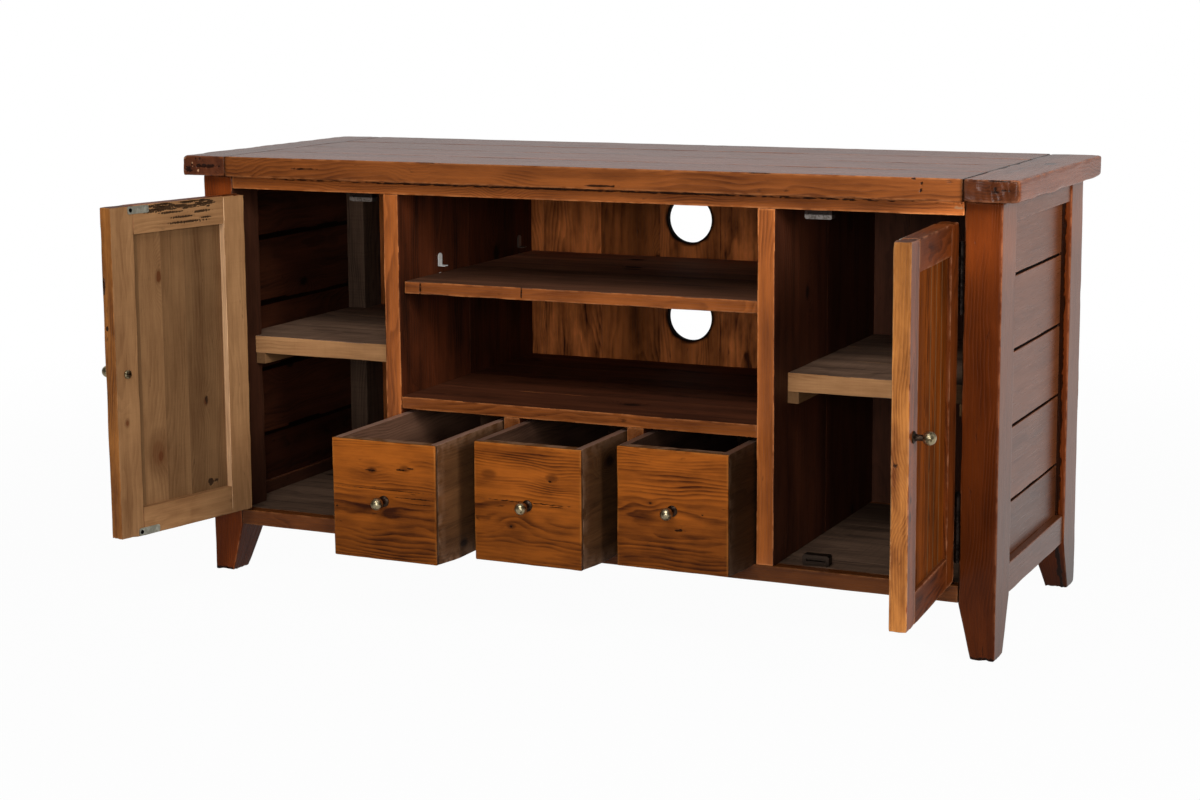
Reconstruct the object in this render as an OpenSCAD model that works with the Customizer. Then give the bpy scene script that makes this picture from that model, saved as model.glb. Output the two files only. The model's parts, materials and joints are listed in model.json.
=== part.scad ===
// Media console in stained pine: two framed doors on butt hinges, an open middle bay
// with an adjustable shelf, and three drawers, under a plank top with breadboard ends.
// The origin is on the floor, under the middle of the case. The front faces -Y.

/* [Case] */
// Width over the four posts
case_w = 1344; // [1240:2:1560]
// Depth over the four posts
case_d = 490; // [450:2:560]
// Height of the posts, up to the underside of the top
case_h = 667; // [662:1:740]
// Height of the feet below the rails
foot_h = 83; // [60:1:98]

/* [Top] */
// Thickness of the top
top_t = 33; // [24:1:45]
// How far the top stands out at each side
top_side = 28; // [10:1:45]
// How far the top stands out at the front
top_front = 18; // [6:1:35]
// Width of each breadboard end
top_end_w = 82; // [60:1:120]

/* [Posts] */
// Width of a post, seen from the front
post_w = 56; // [48:1:70]
// Depth of a post, seen from the side
post_d = 76; // [64:1:90]
// Width of a foot at the floor
foot_w = 36; // [26:1:46]
// Depth of a foot at the floor
foot_d = 45; // [30:1:60]

/* [Rails] */
// Height of the front top rail
top_rail_h = 21; // [16:1:34]
// Depth of the front top rail, which carries the upper catches
top_rail_d = 46; // [46:1:60]
// Height of the front and rear bottom rails
bottom_rail_h = 25; // [22:1:40]
// Thickness of the front bottom rail
bottom_rail_t = 22; // [18:1:26]
// Thickness of the two rear rails
rear_rail_t = 30; // [26:1:40]
// Height of the top rail at the rear and at each side
side_top_rail_h = 35; // [28:1:50]
// Height of the bottom rail at each side
side_bottom_rail_h = 45; // [32:1:60]
// Thickness of the side rails
side_rail_t = 24; // [20:1:30]
// How far the side rails lie behind the faces of the posts
side_rail_in = 3; // [1:1:6]

/* [Side and back panels] */
// Thickness of the side planks
plank_t = 10; // [9:1:12]
// How far the side planks lie behind the faces of the posts
plank_in = 11; // [8:1:16]
// Height of a whole side plank
plank_h = 113; // [100:1:120]
// Thickness of the back boards
back_t = 10; // [8:1:14]
// How far the back boards lie inside the rear faces of the posts
back_in = 10; // [6:1:14]
// Diameter of the two cable holes
cable_d = 81; // [50:1:84]
// Height of the lower cable hole's centre above the fixed shelf
cable_rise_low = 81; // [50:1:100]
// Height of the upper cable hole's centre above the adjustable shelf
cable_rise_high = 66; // [50:1:80]

/* [Bays and shelves] */
// Clear width of each side bay
bay_w = 284; // [250:2:310]
// Thickness of the dividers and of the drawer partitions
divider_t = 28; // [20:1:34]
// Thickness of the floor planks
floor_t = 20; // [16:1:22]
// Clear height of the drawer openings
drawer_bay_h = 194; // [160:1:210]
// Thickness of the fixed and the adjustable shelf
shelf_t = 20; // [18:1:24]
// Clear height between the fixed and the adjustable shelf
low_bay_h = 165; // [140:1:180]
// How far the adjustable shelf lies behind the front
shelf_in = 12; // [4:1:40]
// Thickness of the shelves in the side bays
side_shelf_t = 29; // [20:1:34]
// Clear height below the shelves in the side bays
side_shelf_rise = 257; // [200:1:300]
// How far the shelves in the side bays lie behind the front
side_shelf_in = 56; // [50:1:60]
// Width and height of the cleats under them
cleat = 18; // [12:1:24]

/* [Doors] */
// Thickness of the door frames
door_t = 25; // [23:1:26]
// Width of the stiles
stile_w = 45; // [38:1:60]
// Width of the door rails
door_rail_w = 45; // [38:1:60]
// Thickness of the door panels
panel_t = 8; // [6:1:9]
// How far a panel lies behind the outer face of its frame
panel_in = 6; // [4:1:8]
// Pitch of the beads on the outer face of a panel
bead_pitch = 32; // [20:1:45]
// Gap above and below a door
door_gap = 7; // [2:0.5:9]
// Gap between a door and the divider beside it
free_gap = 1.5; // [1:0.1:3]
// How far the left door stands open, in degrees
left_open = 102.5; // [90:0.5:110]
// How far the right door stands open, in degrees
right_open = 93.5; // [80:0.5:110]

/* [Hinges] */
// Height of a butt hinge
hinge_h = 100; // [60:1:110]
// Width of a hinge leaf in its mortise
leaf_w = 22; // [16:1:22]
// Thickness of a hinge leaf
leaf_t = 1.6; // [1.2:0.1:2]
// Diameter of the hinge knuckles
knuckle_d = 8; // [7:0.5:9]
// Diameter of the hinge pins
pin_d = 4; // [3:0.5:4.5]
// Gap between a door and its post, where the leaves meet
hinge_gap = 2.5; // [2:0.1:3]
// Distance of each hinge's middle from its door's end
hinge_inset = 81; // [70:1:120]

/* [Drawers] */
// Thickness of the drawer fronts
front_t = 20; // [16:1:24]
// Thickness of the drawer sides and backs
side_t = 12; // [9:1:14]
// Thickness of the drawer bottoms
bottom_t = 6; // [4:1:8]
// Gap at each side of a drawer
drawer_side_gap = 3; // [1:0.5:5]
// Gap above a drawer
drawer_top_gap = 6.3; // [3:0.1:12]
// How far a drawer's front stops above the lower edge of its sides
front_rise = 5; // [0:0.5:7]
// How far the left drawer is pulled out
pull_1 = 218; // [0:1:300]
// How far the middle drawer is pulled out
pull_2 = 159; // [0:1:300]
// How far the right drawer is pulled out
pull_3 = 106; // [0:1:300]

/* [Knobs, catches and shelf supports] */
// Diameter of the ball of a knob
ball_d = 18; // [14:1:22]
// Distance of the ball's centre from the wood
ball_out = 22; // [18:1:28]
// Diameter of the rose at the foot of a knob
rose_d = 17; // [14:1:24]
// Diameter of the screws that hold the knobs
screw_d = 4; // [3:0.5:5]
// Length of a magnetic catch
catch_l = 42; // [30:1:50]
// Height and depth of a magnetic catch
catch_h = 16; // [12:1:18]
// Distance of each catch's middle from the door's free edge
catch_inset = 55; // [40:1:80]
// Diameter of the pegs of the shelf supports
peg_d = 5; // [4:0.5:7]
// Distance between the holes for them, one above the other
peg_pitch = 32; // [28:1:40]

/* [Hidden] */

// Clearances and small details
seam = 0.3;           // between boards that lie side by side
fit = 0.15;           // all round a tongue in its groove and a leaf in its mortise
run_gap = 0.3;        // under a drawer, on the floor that it runs on
pin_fit = 0.05;       // round a hinge pin and a knob's screw
ease = 1.5;           // worn edge of the thick boards
fine_ease = 0.8;      // worn edge of the thin boards
groove_deep = 8;      // of the grooves that hold panels and planks
tongue = 7.5;         // length of the tongues in them
lap = 6;              // overlap of the side planks
vee = 1.6;            // open joint between boards, seen on the face
bead_deep = 1.4;      // of the lines on the door panels
bead_half = 1.6;      // half their width
shelf_clear = 1;      // round the shelves in the side bays
back_clear = 2;       // behind the drawers and the loose shelves
bottom_rise = 8;      // of a drawer's bottom above its lower edge
bottom_groove = 5;    // depth of the groove for it
rabbet = 8;           // depth of a drawer front ahead of its sides
back_drop = 6;        // of a drawer's back below its sides
swing_gap = 0.3;      // between a leaf's plate and the other leaf's knuckles
knuckle_gap = 0.2;    // between one knuckle and the next
knuckles = 5;
strike_t = 1.5;
strike_h = 12;
pole_t = 1.2;         // of the two steel plates of a catch
pole_out = 1;         // how far they stand out of its housing
catch_gap = 0.3;      // between them and the strike of a shut door
support_t = 1.5;      // of the steel of a shelf support
support_w = 12;
support_clear = 0.5;  // between it and the end of the shelf
peg_l = 10;
peg_row_front = 133;  // of the peg holes behind the front
peg_row_rear = 50;    // of the peg holes before the back
screw_head_d = 14;
screw_head_h = 3.5;
beyond = 2;           // how far a cutter passes through a face
top_plank_n = 4;
floor_plank_n = 3;
shelf_board_n = 4;
side_shelf_n = 3;
back_board_n = 11;

pine = "sienna";
raw_pine = "tan";
brass = "darkkhaki";
iron = "dimgray";
steel = "silver";

// Levels, from the floor up
rail_z = foot_h;
floor_z = rail_z + bottom_rail_h;
bay_top_z = case_h - top_rail_h;
fixed_z = floor_z + drawer_bay_h;
fixed_top_z = fixed_z + shelf_t;
loose_z = fixed_top_z + low_bay_h;
loose_top_z = loose_z + shelf_t;
side_shelf_z = floor_z + side_shelf_rise;
panel_low_z = rail_z + side_bottom_rail_h;
panel_high_z = case_h - side_top_rail_h;
door_low_z = floor_z + door_gap;
door_high_z = bay_top_z - door_gap;
door_mid_z = (door_low_z + door_high_z) / 2;

// Places across the case, on its right half
half_w = case_w / 2;
post_x = half_w - post_w;
divider_x = post_x - bay_w;
middle_x = divider_x - divider_t;
drawer_bay_w = (2 * middle_x - 2 * divider_t) / 3;
drawer_pitch = drawer_bay_w + divider_t;
plank_x = half_w - plank_in - plank_t;
floor_x = half_w - side_rail_in - side_rail_t;

// Places from front to back
front_y = -case_d / 2;
rear_y = case_d / 2;
back_y = rear_y - back_in - back_t;
front_post_y = front_y + post_d;
rear_post_y = rear_y - post_d;
rear_rail_y = rear_y - rear_rail_t;

// A left door, shut, runs from its hinge edge to its free edge
door_hinge_x = -post_x + hinge_gap;
door_free_x = -divider_x - free_gap;
door_mid_x = (door_hinge_x + door_free_x) / 2;
door_inner_y = front_y + door_t;
panel_y = front_y + panel_in;
panel_x0 = door_hinge_x + stile_w;
panel_x1 = door_free_x - stile_w;
panel_z0 = door_low_z + door_rail_w;
panel_z1 = door_high_z - door_rail_w;
pin_x = -post_x + hinge_gap / 2;
pin_y = front_y - knuckle_d / 2;
hinge_zs = [door_low_z + hinge_inset, door_high_z - hinge_inset];
catch_x = door_free_x - catch_inset;
catch_y = door_inner_y + strike_t + catch_gap + pole_out;
catch_zs = [floor_z, bay_top_z - catch_h];
knob_x = door_free_x - stile_w / 2;

// A drawer, shut, has its front flush with the front of the case
drawer_w = drawer_bay_w - 2 * drawer_side_gap;
drawer_z = floor_z + run_gap;
drawer_top_z = fixed_z - drawer_top_gap;
drawer_front_z = drawer_z + front_rise;
drawer_knob_z = (drawer_front_z + drawer_top_z) / 2;
drawer_end_y = back_y - back_clear;
drawer_pulls = [pull_1, pull_2, pull_3];

peg_ys = [front_y + peg_row_front, back_y - peg_row_rear];
peg_z = loose_z + shelf_t / 2;

$fn = 48;

// An oblong with its four corners cut back by e
function eased(a0, a1, b0, b1, e) = [
    [a0 + e, b0], [a1 - e, b0], [a1, b0 + e], [a1, b1 - e],
    [a1 - e, b1], [a0 + e, b1], [a0, b1 - e], [a0, b0 + e]
];

// Outlines in the plane of Y and Z are carried along X, and so on
module along_x(x0, x1) {
    translate([x0, 0, 0]) rotate([90, 0, 90]) linear_extrude(x1 - x0) children();
}
module along_y(y0, y1) {
    translate([0, y1, 0]) rotate([90, 0, 0]) linear_extrude(y1 - y0) children();
}
module along_z(z0, z1) {
    translate([0, 0, z0]) linear_extrude(z1 - z0) children();
}

// Bars between two corners, with the edges along one axis eased
module bar_x(lo, hi, e = fine_ease) {
    along_x(lo.x, hi.x) polygon(eased(lo.y, hi.y, lo.z, hi.z, e));
}
module bar_y(lo, hi, e = fine_ease) {
    along_y(lo.y, hi.y) polygon(eased(lo.x, hi.x, lo.z, hi.z, e));
}
module bar_z(lo, hi, e = fine_ease) {
    along_z(lo.z, hi.z) polygon(eased(lo.x, hi.x, lo.y, hi.y, e));
}
module block(lo, hi) {
    translate(lo) cube(hi - lo);
}
module right_hand() {
    mirror([1, 0, 0]) children();
}

// The top: planks tongued into the breadboard ends
module top_plank(i) {
    pitch = (case_d + top_front) / top_plank_n;
    y0 = front_y - top_front + (i - 1) * pitch + seam / 2;
    y1 = y0 + pitch - seam;
    x1 = half_w + top_side - top_end_w;
    color(pine) {
        bar_x([-x1, y0, case_h], [x1, y1, case_h + top_t], ease);
        for (s = [-1, 1])
            translate([s * x1, 0, 0])
                block([-tongue, y0 + ease, case_h + top_t / 3], [tongue, y1 - ease, case_h + 2 * top_t / 3]);
    }
}
module top_end() {
    x0 = -half_w - top_side;
    x1 = x0 + top_end_w;
    color(pine) difference() {
        bar_y([x0, front_y - top_front, case_h], [x1, rear_y, case_h + top_t], 2 * ease);
        block([x1 - groove_deep, front_y - top_front + ease, case_h + top_t / 3 - fit],
              [x1 + beyond, rear_y - ease + fit, case_h + 2 * top_t / 3 + fit]);
    }
}

// A post at the left front corner: its two inner faces taper below the rails
module foot_profile(foot, full) {
    slope = (full - foot) / foot_h;
    polygon([[-beyond, -beyond], [foot - slope * beyond, -beyond], [full, foot_h], [full + beyond, foot_h],
             [full + beyond, case_h + beyond], [-beyond, case_h + beyond]]);
}
module post_blank() {
    intersection() {
        along_z(0, case_h) polygon(eased(0, post_w, 0, post_d, 2 * ease));
        along_y(-beyond, post_d + beyond) foot_profile(foot_w, post_w);
        along_x(-beyond, post_w + beyond) foot_profile(foot_d, post_d);
    }
}
module post(hinged) {
    color(pine) difference() {
        translate([-half_w, front_y, 0]) post_blank();
        block([-half_w + plank_in - fit, front_post_y - groove_deep, panel_low_z - beyond],
              [-half_w + plank_in + plank_t + fit, front_post_y + beyond, panel_high_z + beyond]);
        if (hinged)
            for (z = hinge_zs)
                block([-post_x - leaf_t - fit, front_y - beyond, z - hinge_h / 2 - fit],
                      [-post_x + beyond, front_y + leaf_w + fit, z + hinge_h / 2 + fit]);
    }
}
module rear_post() {
    mirror([0, 1, 0]) post(false);
}

module front_top_rail() {
    color(pine) bar_x([-post_x, front_y, bay_top_z], [post_x, front_y + top_rail_d, case_h]);
}
module front_bottom_rail() {
    color(pine) bar_x([-post_x, front_y, rail_z], [post_x, front_y + bottom_rail_t, floor_z]);
}
// The rear rails, grooved for the ends of the back boards
module rear_rail(z0, z1, groove_z) {
    color(pine) difference() {
        bar_x([-post_x, rear_rail_y, z0], [post_x, rear_y, z1]);
        block([-post_x - beyond, back_y - fit, groove_z - groove_deep],
              [post_x + beyond, back_y + back_t + fit, groove_z + groove_deep]);
    }
}
module side_rail(z0, z1) {
    x0 = -half_w + side_rail_in;
    color(pine) bar_y([x0, front_post_y, z0], [x0 + side_rail_t, rear_post_y, z1], ease);
}

// Side planks: shiplap boards with an open joint on the outer face. The end ones are cut to fit
module side_planks() {
    x0 = -half_w + plank_in;
    x1 = x0 + plank_t;
    x_lap = x0 + plank_t / 2;
    mid = (panel_low_z + panel_high_z) / 2;
    for (i = [-2:2]) {
        z0 = i == -2 ? panel_low_z : mid + (i - 0.5) * plank_h;
        z1 = i == 2 ? panel_high_z : mid + (i + 0.5) * plank_h;
        lap_low = i == -2 ? 0 : lap;
        lap_high = i == 2 ? 0 : lap;
        gap_low = i == -2 ? 0 : vee;
        gap_high = i == 2 ? 0 : vee;
        color(pine) along_y(front_post_y - tongue, rear_post_y + tongue)
            polygon([[x0 + fine_ease, z0 + gap_low], [x_lap, z0 + gap_low], [x_lap, z0 + lap_low + seam],
                     [x1, z0 + lap_low + seam], [x1, z1 + lap_high], [x_lap + seam, z1 + lap_high],
                     [x_lap + seam, z1 - gap_high], [x0 + fine_ease, z1 - gap_high],
                     [x0, z1 - gap_high - fine_ease], [x0, z0 + gap_low + fine_ease]]);
    }
}

// Back boards, upright, between the rear posts
module back_board(i) {
    pitch = 2 * post_x / back_board_n;
    x0 = -post_x + i * pitch + seam / 2;
    bar_z([x0, back_y, floor_z - tongue], [x0 + pitch - seam, back_y + back_t, panel_high_z + tongue]);
}
module back_boards() {
    middle = (back_board_n - 1) / 2;
    color(pine) for (i = [0:back_board_n - 1]) if (i != middle) back_board(i);
}
module back_cable_board() {
    color(pine) difference() {
        back_board((back_board_n - 1) / 2);
        for (z = [fixed_top_z + cable_rise_low, loose_top_z + cable_rise_high])
            translate([0, back_y + back_t + beyond, z])
                rotate([90, 0, 0]) cylinder(d = cable_d, h = back_t + 2 * beyond);
    }
}

// A divider: two boards, notched round the top rails, with blind peg holes
module divider() {
    split_y = (front_y + back_y) / 2;
    color(pine) difference() {
        union() {
            along_x(-divider_x, -middle_x)
                polygon([[front_y, floor_z], [split_y - seam, floor_z], [split_y - seam, case_h],
                         [front_y + top_rail_d, case_h], [front_y + top_rail_d, bay_top_z],
                         [front_y, bay_top_z]]);
            along_x(-divider_x, -middle_x)
                polygon([[split_y, floor_z], [back_y, floor_z], [back_y, panel_high_z - seam],
                         [rear_rail_y - seam, panel_high_z - seam], [rear_rail_y - seam, case_h],
                         [split_y, case_h]]);
        }
        for (y = peg_ys, z = [peg_z, peg_z + peg_pitch])
            translate([-middle_x - peg_l - fit, y, z])
                rotate([0, 90, 0]) cylinder(d = peg_d + 2 * pin_fit, h = peg_l + beyond);
    }
}

// Floor planks: three between the side panels, one before and one behind them between the posts
module floor_planks() {
    pitch = (rear_post_y - front_post_y) / floor_plank_n;
    z0 = floor_z - floor_t;
    color(raw_pine) {
        bar_x([-post_x, front_y + bottom_rail_t, z0], [post_x, front_post_y - seam, floor_z]);
        for (i = [0:floor_plank_n - 1])
            bar_x([-floor_x, front_post_y + i * pitch, z0],
                  [floor_x, front_post_y + (i + 1) * pitch - seam, floor_z]);
        bar_x([-post_x, rear_post_y, z0], [post_x, rear_rail_y, floor_z]);
    }
}
module fixed_shelf() {
    pitch = (back_y - front_y) / shelf_board_n;
    color(pine) for (i = [0:shelf_board_n - 1])
        bar_x([-middle_x, front_y + i * pitch, fixed_z],
              [middle_x, front_y + (i + 1) * pitch - seam, fixed_top_z]);
}
module adjustable_shelf() {
    x1 = middle_x - support_t - support_clear;
    color(pine) bar_x([-x1, front_y + shelf_in, loose_z], [x1, back_y - back_clear, loose_top_z]);
}

// A steel support: a peg, an upright plate and a tab under the shelf
module shelf_support() {
    low = -shelf_t / 2 - support_t;
    high = shelf_t / 2 - support_w / 2;
    along_x(0, support_t) {
        translate([-support_w / 2, low]) square([support_w, high - low]);
        translate([0, high]) circle(d = support_w);
    }
    block([0, -support_w / 2, low], [support_w, support_w / 2, low + support_t]);
    translate([-peg_l, 0, 0]) rotate([0, 90, 0]) cylinder(d = peg_d, h = peg_l + support_t / 2);
}
module shelf_supports() {
    color(steel) for (y = peg_ys, z = [peg_z, peg_z + peg_pitch], s = [0, 1])
        mirror([s, 0, 0]) translate([-middle_x, y, z]) shelf_support();
}

// A partition between two drawers
module partition() {
    x0 = -drawer_pitch / 2 - divider_t / 2;
    color(pine) bar_y([x0, front_y, floor_z], [x0 + divider_t, back_y, fixed_z]);
}

// A shelf in the left side bay: boards notched round the two posts, on two cleats
module side_shelf() {
    y_first = front_y + side_shelf_in;
    pitch = (back_y - shelf_clear - y_first) / side_shelf_n;
    color(raw_pine) difference() {
        for (i = [0:side_shelf_n - 1])
            bar_x([-plank_x + shelf_clear, y_first + i * pitch, side_shelf_z],
                  [-divider_x - seam, y_first + (i + 1) * pitch - seam, side_shelf_z + side_shelf_t]);
        for (y = [front_y - beyond, rear_post_y - shelf_clear])
            block([-half_w, y, side_shelf_z - beyond],
                  [-post_x + seam, y + post_d + beyond + shelf_clear, side_shelf_z + side_shelf_t + beyond]);
    }
}
module shelf_cleats() {
    y0 = front_y + side_shelf_in;
    y1 = rear_post_y + cleat;
    color(raw_pine) for (s = [0, 1], x = [-post_x, -divider_x - cleat])
        mirror([s, 0, 0]) bar_y([x, y0, side_shelf_z - cleat], [x + cleat, y1, side_shelf_z]);
}

// A magnetic catch: a housing with a slot for its magnet, and two steel plates
module catch(z) {
    x0 = catch_x - catch_l / 2;
    slot = catch_h / 3;
    color(steel) {
        difference() {
            bar_y([x0, catch_y, z], [x0 + catch_l, catch_y + catch_h, z + catch_h], 2);
            block([x0 + slot, catch_y - beyond, z + slot], [x0 + catch_l - slot, catch_y + slot, z + 2 * slot]);
        }
        for (low = [slot + fit, 2 * slot - pole_t - fit])
            block([x0 + slot + fit, catch_y - pole_out, z + low],
                  [x0 + catch_l - slot - fit, catch_y + slot - fit, z + low + pole_t]);
    }
}
module magnetic_catches() {
    for (s = [0, 1], z = catch_zs) mirror([s, 0, 0]) catch(z);
}

// One hinge leaf, the door's or the post's: a plate and its share of the knuckles round the pin
module leaf(z, first) {
    band = hinge_h / knuckles;
    x0 = first == 0 ? -hinge_gap / 2 - leaf_t : hinge_gap / 2;
    plate_y = knuckle_d / 2 + swing_gap;
    color(iron) translate([pin_x, pin_y, z - hinge_h / 2]) difference() {
        union() {
            block([x0, plate_y, 0], [x0 + leaf_t, knuckle_d / 2 + leaf_w, hinge_h]);
            for (i = [first:2:knuckles - 1]) translate([0, 0, i * band + knuckle_gap / 2]) {
                cylinder(d = knuckle_d, h = band - knuckle_gap);
                block([x0, 0, 0], [x0 + leaf_t, plate_y + swing_gap, band - knuckle_gap]);
            }
        }
        translate([0, 0, -beyond]) cylinder(d = pin_d + 2 * pin_fit, h = hinge_h + 2 * beyond);
    }
}
module hinge_post_leaves() {
    for (s = [0, 1], z = hinge_zs) mirror([s, 0, 0]) leaf(z, 0);
}
// A pin with a button at each end
module hinge_pin(z) {
    tip = knuckle_d / 4;
    translate([pin_x, pin_y, z]) {
        cylinder(d = pin_d, h = hinge_h + 2 * tip, center = true);
        for (s = [-1, 1]) translate([0, 0, s * (hinge_h / 2 + tip / 2 + knuckle_gap)])
            cylinder(d = knuckle_d - 1, h = tip, center = true);
    }
}
module hinge_pins() {
    color(iron) for (s = [0, 1], z = hinge_zs) mirror([s, 0, 0]) hinge_pin(z);
}

// Puts a shut left door's pieces where the open left or right door has them
module on_left_door() {
    translate([pin_x, pin_y, 0]) rotate([0, 0, -left_open]) translate([-pin_x, -pin_y, 0]) children();
}
module on_right_door() {
    translate([-pin_x, pin_y, 0]) rotate([0, 0, right_open]) translate([pin_x, -pin_y, 0])
        right_hand() children();
}

// The groove round the inside of a door frame
module panel_groove(lo, hi) {
    block([lo.x, panel_y - fit, lo.y], [hi.x, panel_y + panel_t + fit, hi.y]);
}
module door_stiles() {
    color(pine) {
        difference() {
            bar_z([door_hinge_x, front_y, door_low_z], [panel_x0, door_inner_y, door_high_z], ease);
            panel_groove([panel_x0 - groove_deep, door_low_z - beyond], [panel_x0 + beyond, door_high_z + beyond]);
            for (z = hinge_zs)
                block([door_hinge_x - beyond, front_y - beyond, z - hinge_h / 2 - fit],
                      [door_hinge_x + leaf_t + fit, front_y + leaf_w + fit, z + hinge_h / 2 + fit]);
        }
        difference() {
            bar_z([panel_x1, front_y, door_low_z], [door_free_x, door_inner_y, door_high_z], ease);
            panel_groove([panel_x1 - beyond, door_low_z - beyond], [panel_x1 + groove_deep, door_high_z + beyond]);
            translate([knob_x, door_inner_y + beyond, door_mid_z])
                rotate([90, 0, 0]) cylinder(d = screw_d + 2 * fit, h = door_t + 2 * beyond);
        }
    }
}
module door_rails() {
    color(pine) for (z = [[door_low_z, panel_z0, panel_z0], [panel_z1, door_high_z, panel_z1]]) {
        difference() {
            bar_x([panel_x0, front_y, z[0]], [panel_x1, door_inner_y, z[1]]);
            panel_groove([panel_x0 - beyond, z[2] - groove_deep], [panel_x1 + beyond, z[2] + groove_deep]);
        }
        for (x = [[panel_x0 - tongue, panel_x0 + tongue], [panel_x1 - tongue, panel_x1 + tongue]]) {
            low = z[2] == z[0] ? z[2] + groove_deep : z[0];
            high = z[2] == z[1] ? z[2] - groove_deep : z[1];
            block([x[0], panel_y, low], [x[1], panel_y + panel_t, high]);
        }
    }
}
// A door panel: upright beads on its outer face, flat inside
module door_panel() {
    x0 = panel_x0 - tongue;
    x1 = panel_x1 + tongue;
    n = floor((panel_x1 - panel_x0) / bead_pitch / 2);
    color(pine) along_z(panel_z0 - tongue, panel_z1 + tongue) polygon(concat(
        [[x1, panel_y + panel_t], [x0, panel_y + panel_t], [x0, panel_y]],
        [for (i = [-n:n], k = [-1:1])
            [door_mid_x + i * bead_pitch + k * bead_half, panel_y + (k == 0 ? bead_deep : 0)]],
        [[x1, panel_y]]));
}

// A ball knob on its rose, turned about the screw that holds it through the wood
module knob(x, y, z, wood) {
    ball = ball_d / 2;
    neck = ball_d / 5;
    from = asin(neck / ball);
    bore = ball_out - ball / 2;
    translate([x, y, z]) rotate([90, 0, 0]) color(brass) {
        difference() {
            rotate_extrude() polygon(concat(
                [[0, 0], [rose_d / 2, 0], [rose_d / 2, 1.2], [rose_d / 2 - 1.6, 2.4], [neck + 1, 3.6],
                 [neck, 6]],
                [for (i = [0:12]) let (a = from + (180 - from) * i / 12)
                    [i == 12 ? 0 : ball * sin(a), ball_out - ball * cos(a)]]));
            translate([0, 0, -beyond]) cylinder(d = screw_d + 2 * pin_fit, h = bore + beyond);
        }
        translate([0, 0, -wood]) cylinder(d = screw_d, h = wood + bore - fit);
        translate([0, 0, -wood - screw_head_h]) cylinder(d = screw_head_d, h = screw_head_h);
    }
}
module door_knob() {
    knob(knob_x, front_y, door_mid_z, door_t);
}
// The plates that the catches hold, on the inner face of a door
module door_strikes() {
    color(steel) for (z = catch_zs) {
        mid = max(door_low_z + strike_h / 2 + 1, min(door_high_z - strike_h / 2 - 1, z + catch_h / 2));
        bar_y([catch_x - catch_l / 2, door_inner_y, mid - strike_h / 2],
              [catch_x + catch_l / 2, door_inner_y + strike_t, mid + strike_h / 2], 2);
    }
}
module door_hinge_leaves() {
    for (z = hinge_zs) leaf(z, 1);
}

// Puts a shut drawer's pieces where that drawer is pulled out to
module on_drawer(i) {
    translate([(i - 2) * drawer_pitch, -drawer_pulls[i - 1], 0]) children();
}
module bottom_slot(x, y0, y1) {
    z = drawer_z + bottom_rise;
    block([-x, y0, z - fit], [x, y1, z + bottom_t + fit]);
}
module drawer_front() {
    w = drawer_w / 2;
    color(pine) difference() {
        bar_x([-w, front_y, drawer_front_z], [w, front_y + front_t, drawer_top_z], ease);
        for (s = [-1, 1]) translate([s * w, 0, 0])
            block([-side_t - fit, front_y + rabbet, drawer_z - beyond],
                  [side_t + fit, front_y + front_t + beyond, drawer_top_z + beyond]);
        bottom_slot(w - side_t + bottom_groove, front_y + front_t - bottom_groove, front_y + front_t + beyond);
        translate([0, front_y + front_t + beyond, drawer_knob_z])
            rotate([90, 0, 0]) cylinder(d = screw_d + 2 * fit, h = front_t + 2 * beyond);
    }
}
module drawer_box() {
    w = drawer_w / 2;
    color(pine) {
        difference() {
            for (s = [0, 1]) mirror([s, 0, 0])
                bar_y([w - side_t, front_y + rabbet, drawer_z], [w, drawer_end_y, drawer_top_z]);
            bottom_slot(w - side_t + bottom_groove, front_y, rear_y);
        }
        bar_x([-w + side_t + seam, drawer_end_y - side_t, drawer_z + bottom_rise + bottom_t + fit],
              [w - side_t - seam, drawer_end_y, drawer_top_z - back_drop]);
    }
}
module drawer_bottom() {
    x1 = drawer_w / 2 - side_t + bottom_groove - fit;
    z = drawer_z + bottom_rise;
    color(raw_pine) block([-x1, front_y + front_t - bottom_groove + fit, z], [x1, drawer_end_y, z + bottom_t]);
}
module drawer_knob() {
    knob(0, front_y, drawer_knob_z, front_t);
}

top_plank(1);  // top_plank_1
top_plank(2);  // top_plank_2
top_plank(3);  // top_plank_3
top_plank(4);  // top_plank_4
top_end();  // top_end_left
right_hand() top_end();  // top_end_right
post(true);  // post_front_left
right_hand() post(true);  // post_front_right
rear_post();  // post_rear_left
right_hand() rear_post();  // post_rear_right
front_top_rail();
front_bottom_rail();
rear_rail(panel_high_z, case_h, panel_high_z);  // rear_top_rail
rear_rail(rail_z, floor_z, floor_z);  // rear_bottom_rail
side_rail(panel_high_z, case_h);  // side_top_rail_left
right_hand() side_rail(panel_high_z, case_h);  // side_top_rail_right
side_rail(rail_z, panel_low_z);  // side_bottom_rail_left
right_hand() side_rail(rail_z, panel_low_z);  // side_bottom_rail_right
side_planks();  // side_planks_left
right_hand() side_planks();  // side_planks_right
back_boards();
back_cable_board();
divider();  // divider_left
right_hand() divider();  // divider_right
floor_planks();
fixed_shelf();
adjustable_shelf();
shelf_supports();
partition();  // partition_left
right_hand() partition();  // partition_right
side_shelf();  // side_shelf_left
right_hand() side_shelf();  // side_shelf_right
shelf_cleats();
magnetic_catches();
hinge_post_leaves();
hinge_pins();
on_left_door() door_stiles();  // door_left_stiles
on_left_door() door_rails();  // door_left_rails
on_left_door() door_panel();  // door_left_panel
on_left_door() door_knob();  // door_left_knob
on_left_door() door_strikes();  // door_left_strikes
on_left_door() door_hinge_leaves();  // door_left_hinge_leaves
on_right_door() door_stiles();  // door_right_stiles
on_right_door() door_rails();  // door_right_rails
on_right_door() door_panel();  // door_right_panel
on_right_door() door_knob();  // door_right_knob
on_right_door() door_strikes();  // door_right_strikes
on_right_door() door_hinge_leaves();  // door_right_hinge_leaves
on_drawer(1) drawer_front();  // drawer_1_front
on_drawer(1) drawer_box();  // drawer_1_box
on_drawer(1) drawer_bottom();  // drawer_1_bottom
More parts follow.
